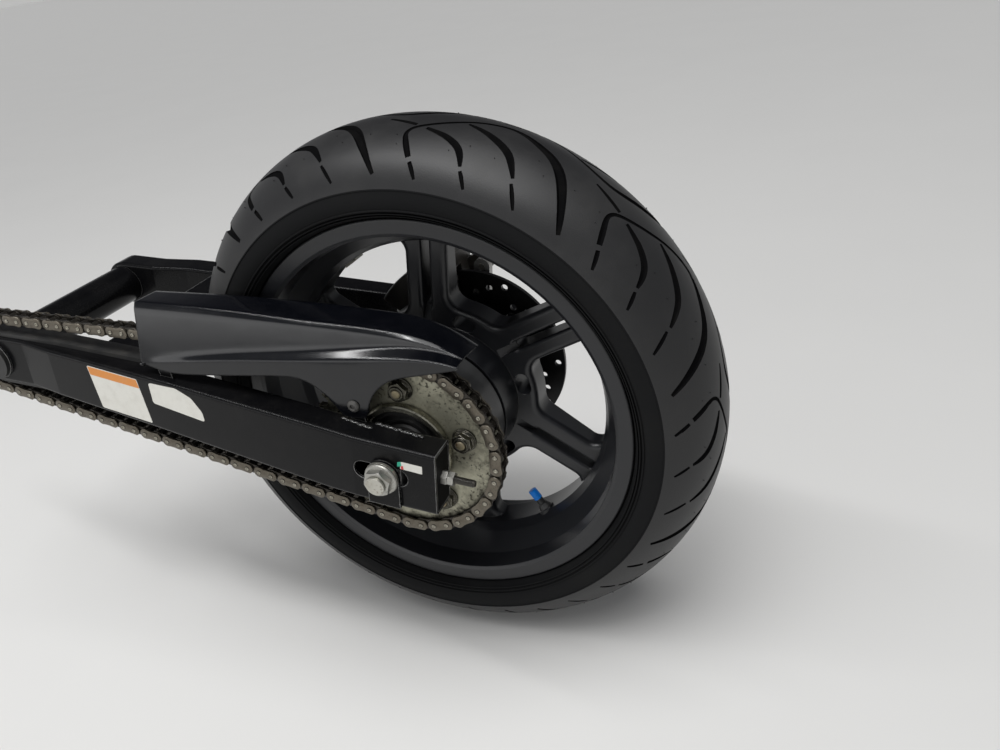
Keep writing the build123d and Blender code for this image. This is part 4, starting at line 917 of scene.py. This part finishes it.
def makeStudNuts():
    nut = bmesh.new()
    for part in (
        turned(studNut["washer"], 32, True), turned(studNut["flange"], 32, True),
        hexNut(studNut["flats"], *studNut["hexagon"]), turned(studNut["collar"], 28, True),
    ):
        stamp(nut, part, Matrix())
        part.free()
    studEnd = turned(studNut["studEnd"], 24)
    nuts, studs = bmesh.new(), bmesh.new()
    for number in range(studNut["count"]):
        angle = studNut["firstAngle"] + number * 360 / studNut["count"]
        place = Matrix.Translation(onWheel(studNut["circle"], angle, -studNut["seat"]))
        stamp(nuts, nut, place @ turnedBy(studNut["turnEach"] * number))
        stamp(studs, studEnd, place)
    finishPiece(nuts, "sprocketNutsDetailed", "nutSteel", "wheel", ["sprocket_nuts"])
    finishPiece(studs, "sprocketStudEnds", "rustySteel", "wheel")
    nut.free()
    studEnd.free()


axleEnd = {
    "flats": 26,
    "washer": -180,
    "turn": 0.35,  # radians
    "flange": [(9.6, 0), (17.4, 0), (17.6, 1.4), (16.6, 2.6), (13.4, 3.6), (9.6, 3.8)],
    "hexagon": (2.2, 10.8, 2.6),
    "bolt": [(0, 9), (9.9, 9), (9.9, 12.6), (9.2, 13.2), (4, 13.5), (3.2, 13), (0, 12.6)],
}


def makeAxleNut():
    mesh = bmesh.new()
    seat = onWheel(0, 0, axleEnd["washer"])
    place = Matrix.Translation(seat) @ Matrix.Rotation(axleEnd["turn"], 4, "Y")
    for part in (turned(axleEnd["flange"], 48, True), hexNut(axleEnd["flats"], *axleEnd["hexagon"])):
        stamp(mesh, part, place)
        part.free()
    finishPiece(mesh, "axleNutFlanged", "axleNutSteel", "swingarm", ["axle_nut"])
    end = turned(axleEnd["bolt"], 40)
    shift(end, seat)
    finishPiece(end, "axleBoltEnd", "rustySteel", "swingarm")


adjuster = {
    "armCentre": 155.5,
    "armRear": 56,
    "nutFlats": 13,
    "nutHeight": 6.5,
    "nutChamfer": 0.9,
    "nutGap": 0.3,
    "nutTurn": 15,
    "studRadius": 4,
    "studStart": 17,
    "studEnd": 91,
    "studChamfer": 0.9,
    "threadStart": 56,
    "threadPitch": 1.25,
    "threadDepth": 0.55,
}


def threadedStud():
    radius, pitch = adjuster["studRadius"], adjuster["threadPitch"]
    left = adjuster["threadStart"]
    profile = [(0.0, adjuster["studStart"]), (radius, adjuster["studStart"]), (radius, left)]
    while left < adjuster["studEnd"] - 2 * pitch:
        profile += [(radius - adjuster["threadDepth"], left + pitch / 2), (radius, left + pitch)]
        left += pitch
    profile += [(radius - adjuster["studChamfer"], adjuster["studEnd"]), (0.0, adjuster["studEnd"])]
    return turned(profile, 16)


def makeAdjusters():
    along = polar(1.0, -armDroop)
    turn = aimedAt(along, "-Y", "Z")
    height = adjuster["nutHeight"]
    stud, nut = threadedStud(), hexNut(adjuster["nutFlats"], 0.0, height, adjuster["nutChamfer"])
    studs, nuts = bmesh.new(), bmesh.new()
    for side in (-1, 1):
        foot = onWheel(0, 0, side * adjuster["armCentre"])
        stamp(studs, stud, Matrix.Translation(foot) @ turn)
        for number in range(2):
            left = adjuster["armRear"] + number * (height + adjuster["nutGap"])
            place = Matrix.Translation(foot + along * left / 1000) @ turn
            stamp(nuts, nut, place @ turnedBy(adjuster["nutTurn"] * number))
    finishPiece(studs, "adjusterStudsThreaded", "threadSteel", "swingarm", ["adjuster_studs"])
    finishPiece(nuts, "adjusterNutsChamfered", "axleNutSteel", "swingarm", ["adjuster_nuts"])
    stud.free()
    nut.free()


boss = {
    "ring": [
        (45.4, 116.2), (45.4, 127.4), (46.2, 128.4), (50.6, 128.4), (52, 127.4), (52.3, 125), (52.3, 120.4),
        (52, 120.4), (46, 126),
    ],
    "seal": [
        (16.6, 116.1), (16.6, 119.5), (19, 121.5), (24, 121.8), (26, 119.8), (29.5, 119.8), (31, 122.2),
        (33.5, 122.2), (35, 119.6), (38, 119.6), (39.5, 122.6), (42, 122.8), (43.4, 120.4), (45.3, 120),
        (45.3, 116.1),
    ],
}


def makeBoss():
    for part, finish, slot in (("ring", "bossSteel", "bearing_steel"), ("seal", "softRubber", "seal_rubber")):
        mesh = turned(boss[part], 72, True)
        shift(mesh, wheelCentre)
        finishPiece(mesh, "carrier" + part.capitalize(), finish, "wheel")


guard = {
    "across": (-92, -126, -130, -146),  # deck's far edge, ridge, face's top, side
    "faceTilt": 0.28,  # how far the face leans out as it goes down
    "stations": [
        # behind the axle; heights of the deck's far edge, its ridge, the face's top and foot, the side's top
        (-296, 158, 160, 153, 101, 94.5),
        (-180, 154.5, 153.5, 146.5, 110.5, 104.5),
        (-90, 149, 145.5, 142, 116, 109),
        (-20, 143, 140, 136, 121, 113),
        (25, 137.5, 134.5, 131, 123.5, 116),
        (50, 130, 128.5, 126, 122, 116.2),
        (74, 116.5, 119, 118, 116.8, 114.3),
        (87, 107.5, 112, 112.2, 111.8, 111),
    ],
    "lowerEdge": [
        # behind and above the axle
        (-296, 96.5), (-288, 93), (-276, 88.5), (-262, 85.3), (-245, 84), (-218, 85),
        (-192, 86), (-165, 87.5), (-138, 89), (-111, 90.5), (-96, 90), (-83, 86),
        (-70, 77), (-60, 64.5), (-51.5, 51), (-49, 46.5), (-36, 46.5), (-23, 46.5),
        (-20, 55), (-14, 70), (-3, 83), (13, 93.5), (30, 97.5), (50, 101),
        (62, 103.4), (74, 105.8), (87, 108.4),
    ],
    "creases": (1, 0.55, 0.75, 0.7, 0.6, 1),
    "wall": 2.5,
    "rimWidth": 0.4,
    "rimAngle": 60,
}


def guardHeights(x):
    # The station table read at any place, by smooth curves from one station to the next
    table = guard["stations"]
    index = max(i for i in range(len(table) - 1) if table[i][0] <= x or i == 0)
    near, after = table[index], table[index + 1]
    before, beyond = table[max(index - 1, 0)], table[min(index + 2, len(table) - 1)]
    span = after[0] - near[0]
    share = (x - near[0]) / span
    weight = share * share * (3 - 2 * share)
    heights = []
    for column in range(1, len(near)):
        startSlope = (after[column] - before[column]) / (after[0] - before[0])
        endSlope = (beyond[column] - near[column]) / (beyond[0] - near[0])
        bend = startSlope * share * (1 - share) ** 2 - endSlope * share * share * (1 - share)
        heights.append(near[column] * (1 - weight) + after[column] * weight + span * bend)
    return heights


def makeGuard():
    mesh = bmesh.new()
    crease = mesh.edges.layers.float.new("crease_edge")
    farEdge, ridge, faceTop, side = guard["across"]
    lastRow = None
    for x, lowest in guard["lowerEdge"]:
        heights = guardHeights(x) + [lowest]
        faceFoot = faceTop - guard["faceTilt"] * (heights[2] - heights[3])
        across = (farEdge, ridge, faceTop, faceFoot, side, side)
        row = [mesh.verts.new((x / 1000, y / 1000, z / 1000)) for y, z in zip(across, heights)]
        section = [mesh.edges.new(pair) for pair in zip(row, row[1:])]
        if lastRow:
            bmesh.ops.bridge_loops(mesh, edges=lastSection + section)
            for here, there, amount in zip(lastRow, row, guard["creases"]):
                mesh.edges.get((here, there))[crease] = amount
        lastRow, lastSection = row, section
    for edge in mesh.edges:
        if edge.is_boundary:
            edge[crease] = 1.0
    faceOut(mesh)
    outer = max(mesh.faces, key=lambda face: -face.calc_center_median().y + abs(face.normal.y))
    if outer.normal.y > 0:
        bmesh.ops.reverse_faces(mesh, faces=mesh.faces)
    shift(mesh, wheelCentre)
    piece = finishPiece(mesh, "chainGuardMoulded", "guardPlastic", "swingarm", ["chain_guard"], 180)
    smooth = piece.modifiers.new("smooth", "SUBSURF")
    smooth.levels = smooth.render_levels = 3
    wall = piece.modifiers.new("wall", "SOLIDIFY")
    wall.thickness = guard["wall"] / 1000
    wall.offset = -1.0
    rim = piece.modifiers.new("rim", "BEVEL")
    rim.width = guard["rimWidth"] / 1000
    rim.segments = 2
    rim.limit_method = "ANGLE"
    rim.angle_limit = math.radians(guard["rimAngle"])


guardBolt = {
    "place": (-35, -146, 61),
    "head": [
        (0, 1.4), (2.3, 1.4), (2.6, 3.2), (3.4, 3.6), (5, 3.2), (6.2, 2), (6.5, 0.6), (6.5, 0), (2.9, 0),
        (2.9, -6.4), (0, -6.4),
    ],
}


def makeGuardBolt():
    mesh = turned(guardBolt["head"], 28)
    shift(mesh, wheelCentre + Vector(guardBolt["place"]) / 1000)
    finishPiece(mesh, "guardBoltHead", "boltPlastic", "swingarm", ["guard_bolts"])


makeStudNuts()
makeAxleNut()
makeAdjusters()
makeBoss()
makeGuard()
makeGuardBolt()
print("nuts, bolts and guard made")


# Valve cap with its grip ribs
valve = {
    "angle": -58,
    "ribs": 14,
    "radius": 4.7,
    "ribDepth": 0.4,
    "ribEdge": 0.05,
    "chamfer": 1,
    "length": 12.5,
}


def makeValveCap():
    low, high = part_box("valve_cap")
    radius, chamfer = valve["radius"] / 1000, valve["chamfer"] / 1000
    mesh = bmesh.new()
    bmesh.ops.create_cone(
        mesh, cap_ends=True, segments=4 * valve["ribs"], radius1=radius, radius2=radius,
        depth=valve["length"] / 1000,
    )
    sides = [face for face in mesh.faces if abs(face.normal.z) < 0.5]
    sides.sort(key=lambda face: math.atan2(face.calc_center_median().y, face.calc_center_median().x))
    grips = [face for number, face in enumerate(sides) if number % 4 < 2]
    bmesh.ops.inset_region(mesh, faces=grips, thickness=valve["ribEdge"] / 1000, depth=valve["ribDepth"] / 1000)
    tip = [face for face in mesh.faces if face.normal.z > 0.9]
    bmesh.ops.inset_region(mesh, faces=tip, thickness=chamfer, depth=chamfer / 2)
    place = Matrix.Translation((low + high) / 2) @ aimedAt(-polar(1.0, valve["angle"]))
    bmesh.ops.transform(mesh, matrix=place, verts=mesh.verts)
    finishPiece(faceOut(mesh), "valveCapRibbed", "capPlastic", "wheel", ["valve_cap"])


makeValveCap()


# Blank labels and the weld seam on the left arm
armFace = {
    "outer": -173,
    "taperStart": -70,
    "taper": 0.0752,
    "bendStart": -35,
    "bendLength": 35,
    "bend": 0.0743,
}
labels = {
    "sunk": 0.2,  # how deep each label starts below the arm's face
    "cornerSteps": 4,
    "pieces": [
        # name, finish, height over the arm, corners as behind and above the axle, corner rounding
        ("largeLabel", "labelWhite", 0.30, [(-380, 88), (-306, 77.5), (-305, 21), (-379.5, 33)], 2),
        ("largeLabelBand", "labelOrange", 0.36, [(-379, 87), (-307, 76.8), (-306.2, 66), (-379.2, 76.5)], 1),
        (
            "smallLabel", "labelWhite", 0.30,
            [(-289, 75), (-250, 72), (-231, 62), (-221, 45), (-221.5, 33.5), (-292, 49)], 3,
        ),
        ("indexLabel", "labelWhite", 0.30, [(22.5, 18), (45, 14.5), (43.6, 5.4), (20, 9.5)], 0.6),
        ("indexLabelGreen", "labelGreen", 0.36, [(18.5, 17.2), (22.5, 18), (22.3, 13), (17.4, 12)], 0.3),
        ("indexLabelRed", "labelRed", 0.36, [(21.5, 12.8), (24.2, 13.2), (24, 9), (21.4, 9.4)], 0.2),
    ],
}


def armFaceY(x, z):
    # The left arm's outer face, which leans inward toward the pivot
    droop = math.radians(armDroop)
    along = x * math.cos(droop) - z * math.sin(droop)
    shifted = armFace["bend"] * max(0.0, min(armFace["bendLength"], armFace["bendStart"] - along))
    return armFace["outer"] + shifted + armFace["taper"] * max(0.0, armFace["taperStart"] - along)


def makeLabels():
    sunk = labels["sunk"]
    for name, finish, height, corners, rounding in labels["pieces"]:
        mesh = bmesh.new()
        verts = [mesh.verts.new((x / 1000, 0, z / 1000)) for x, z in corners]
        mesh.faces.new(verts)
        bmesh.ops.bevel(
            mesh, geom=verts, offset=rounding / 1000, segments=labels["cornerSteps"], profile=0.5,
            affect="VERTICES", material=-1,
        )
        for vert in mesh.verts:
            vert.co.y = (armFaceY(1000 * vert.co.x, 1000 * vert.co.z) + sunk) / 1000
        raiseFaces(mesh, -height - sunk)
        shift(mesh, wheelCentre)
        finishPiece(faceOut(mesh), name, finish, "swingarm")


weld = {
    "runs": [
        # start and end of each bead, behind, across and above the axle, and its ripples
        ((-52, -145, 44.6), (-19, -150.5, 39.7), 13),
        ((-15, -141.5, 39.1), (36, -146.5, 31.4), 19),
    ],
    "size": (2.4, 2, 1.1),
    "stray": (0.7, 0.6),  # to the side, and how much that grows and falls
    "strayWaves": (2.3, 0.9),
    "swell": 0.25,
    "swellWave": (1.7, 0.6),
}


def makeWeld():
    ripple = bmesh.new()
    bmesh.ops.create_icosphere(ripple, subdivisions=2, radius=0.001)
    mesh = bmesh.new()
    turn = turnedBy(armDroop)
    stray, growth = weld["stray"]
    first, second = weld["strayWaves"]
    wave, start = weld["swellWave"]
    for near, far, count in weld["runs"]:
        for number in range(count):
            place = Vector(near).lerp(Vector(far), number / (count - 1))
            place.y += stray * math.sin(first * number) * (1 + growth * math.sin(second * number))
            swell = 1 + weld["swell"] * math.sin(wave * number + start)
            size = Matrix.Diagonal((*(swell * part for part in weld["size"]), 1))
            stamp(mesh, ripple, Matrix.Translation(wheelCentre + place / 1000) @ turn @ size)
    ripple.free()
    finishPiece(mesh, "armWeldSeam", "weldPaint", "swingarm")


makeLabels()
makeWeld()
print("labels and weld made")


# Camera, floor and light
camera = {
    "place": (0.9602, -0.7613, 0.3868),
    "right": (0.92781844, 0.34736961, -0.13596803),
    "forward": (-0.36906407, 0.80177662, -0.4700489),
    "lens": 30.5,
    "sensor": 36.0,
    "clipStart": 0.02,
}


def makeCamera():
    data = bpy.data.cameras.new("camera")
    data.sensor_width = camera["sensor"]
    data.lens = camera["lens"]
    data.clip_start = camera["clipStart"]
    right = Vector(camera["right"]).normalized()
    forward = Vector(camera["forward"]).normalized()
    up = right.cross(forward).normalized()
    turn = Matrix((right, up, -forward)).transposed().to_4x4()
    item = addObject("camera", data)
    item.matrix_world = Matrix.Translation(camera["place"]) @ turn
    bpy.context.scene.camera = item


studio = {
    "floorColor": (0.70, 0.695, 0.68),
    "floorSize": 60.0,
    "floorCentre": 0.4,
    "floorShade": 0.96,  # the darker clouds in it, as a share of its color
    "floorClouds": (2.5, 5.0),
    "floorRoughness": 0.7,
    "horizonColor": (0.50, 0.50, 0.495),
    "skyColor": (0.22, 0.225, 0.235),
    "horizonHeight": (0.04, 0.22),
    "flagColor": (0.03, 0.03, 0.035),
    "flagAim": (-0.30, 0.65, 0.70),
    "flagSize": (0.72, 0.92),
    "sun": {"aim": (-0.10, 0.22, -1.0), "strength": 1.75, "angle": 50.0},
    "lamps": [
        # name, place, aim, width, length, power
        ("stripLamp", (0.1, -0.75, 2.0), (0.3, -0.1, 0.0), 0.12, 2.4, 24.0),
        ("sideLamp", (-0.6, -2.6, 0.66), (0.4, -0.1, 0.05), 1.0, 5.0, 24.0),
    ],
}


def makeWorld():
    # An even pale room with one soft dark part above and behind, as a flag gives
    world = bpy.data.worlds.new("studioWorld")
    world.use_nodes = True
    tree = world.node_tree
    coords = tree.nodes.new("ShaderNodeTexCoord")
    aim = vectorNode(tree, "DOT_PRODUCT", coords.outputs["Generated"], Vector(studio["flagAim"]).normalized())
    split = tree.nodes.new("ShaderNodeSeparateXYZ")
    tree.links.new(coords.outputs["Generated"], split.inputs[0])
    flag = rampValue(tree, aim, *studio["flagSize"])
    height = rampValue(tree, split.outputs["Z"], *studio["horizonHeight"])
    room = mixColor(tree, height, studio["horizonColor"], studio["skyColor"])
    sky = mixColor(tree, flag, room, studio["flagColor"])
    tree.links.new(sky, tree.nodes["Background"].inputs["Color"])
    bpy.context.scene.world = world


def makeFloor():
    material = bpy.data.materials.new("paleFloor")
    material.use_nodes = True
    tree = material.node_tree
    shader = tree.nodes["Principled BSDF"]
    shader.inputs["Roughness"].default_value = studio["floorRoughness"]
    darker = tuple(studio["floorShade"] * part for part in studio["floorColor"])
    tone = mixColor(tree, objectNoise(tree, *studio["floorClouds"]), studio["floorColor"], darker)
    tree.links.new(tone, shader.inputs["Base Color"])
    mesh = bmesh.new()
    bmesh.ops.create_grid(mesh, x_segments=1, y_segments=1, size=studio["floorSize"])
    shift(mesh, (studio["floorCentre"], 0, floorHeight))
    data = meshData(mesh, "floor")
    mesh.free()
    data.materials.append(material)
    addObject("floor", data)


def addLamp(name, kind, aim, power):
    lamp = bpy.data.lights.new(name, kind)
    lamp.energy = power
    item = addObject(name, lamp)
    item.rotation_euler = Vector(aim).to_track_quat("-Z", "Y").to_euler()
    return item, lamp


def makeLamps():
    item, sun = addLamp("ceilingSun", "SUN", studio["sun"]["aim"], studio["sun"]["strength"])
    sun.angle = math.radians(studio["sun"]["angle"])
    for name, place, aim, width, length, power in studio["lamps"]:
        item, lamp = addLamp(name, "AREA", Vector(aim) - Vector(place), power)
        item.location = place
        lamp.shape = "RECTANGLE"
        lamp.size, lamp.size_y = length, width


makeCamera()
makeWorld()
makeFloor()
makeLamps()
bpy.context.scene.view_settings.view_transform = "Standard"
print("camera, floor and light made")
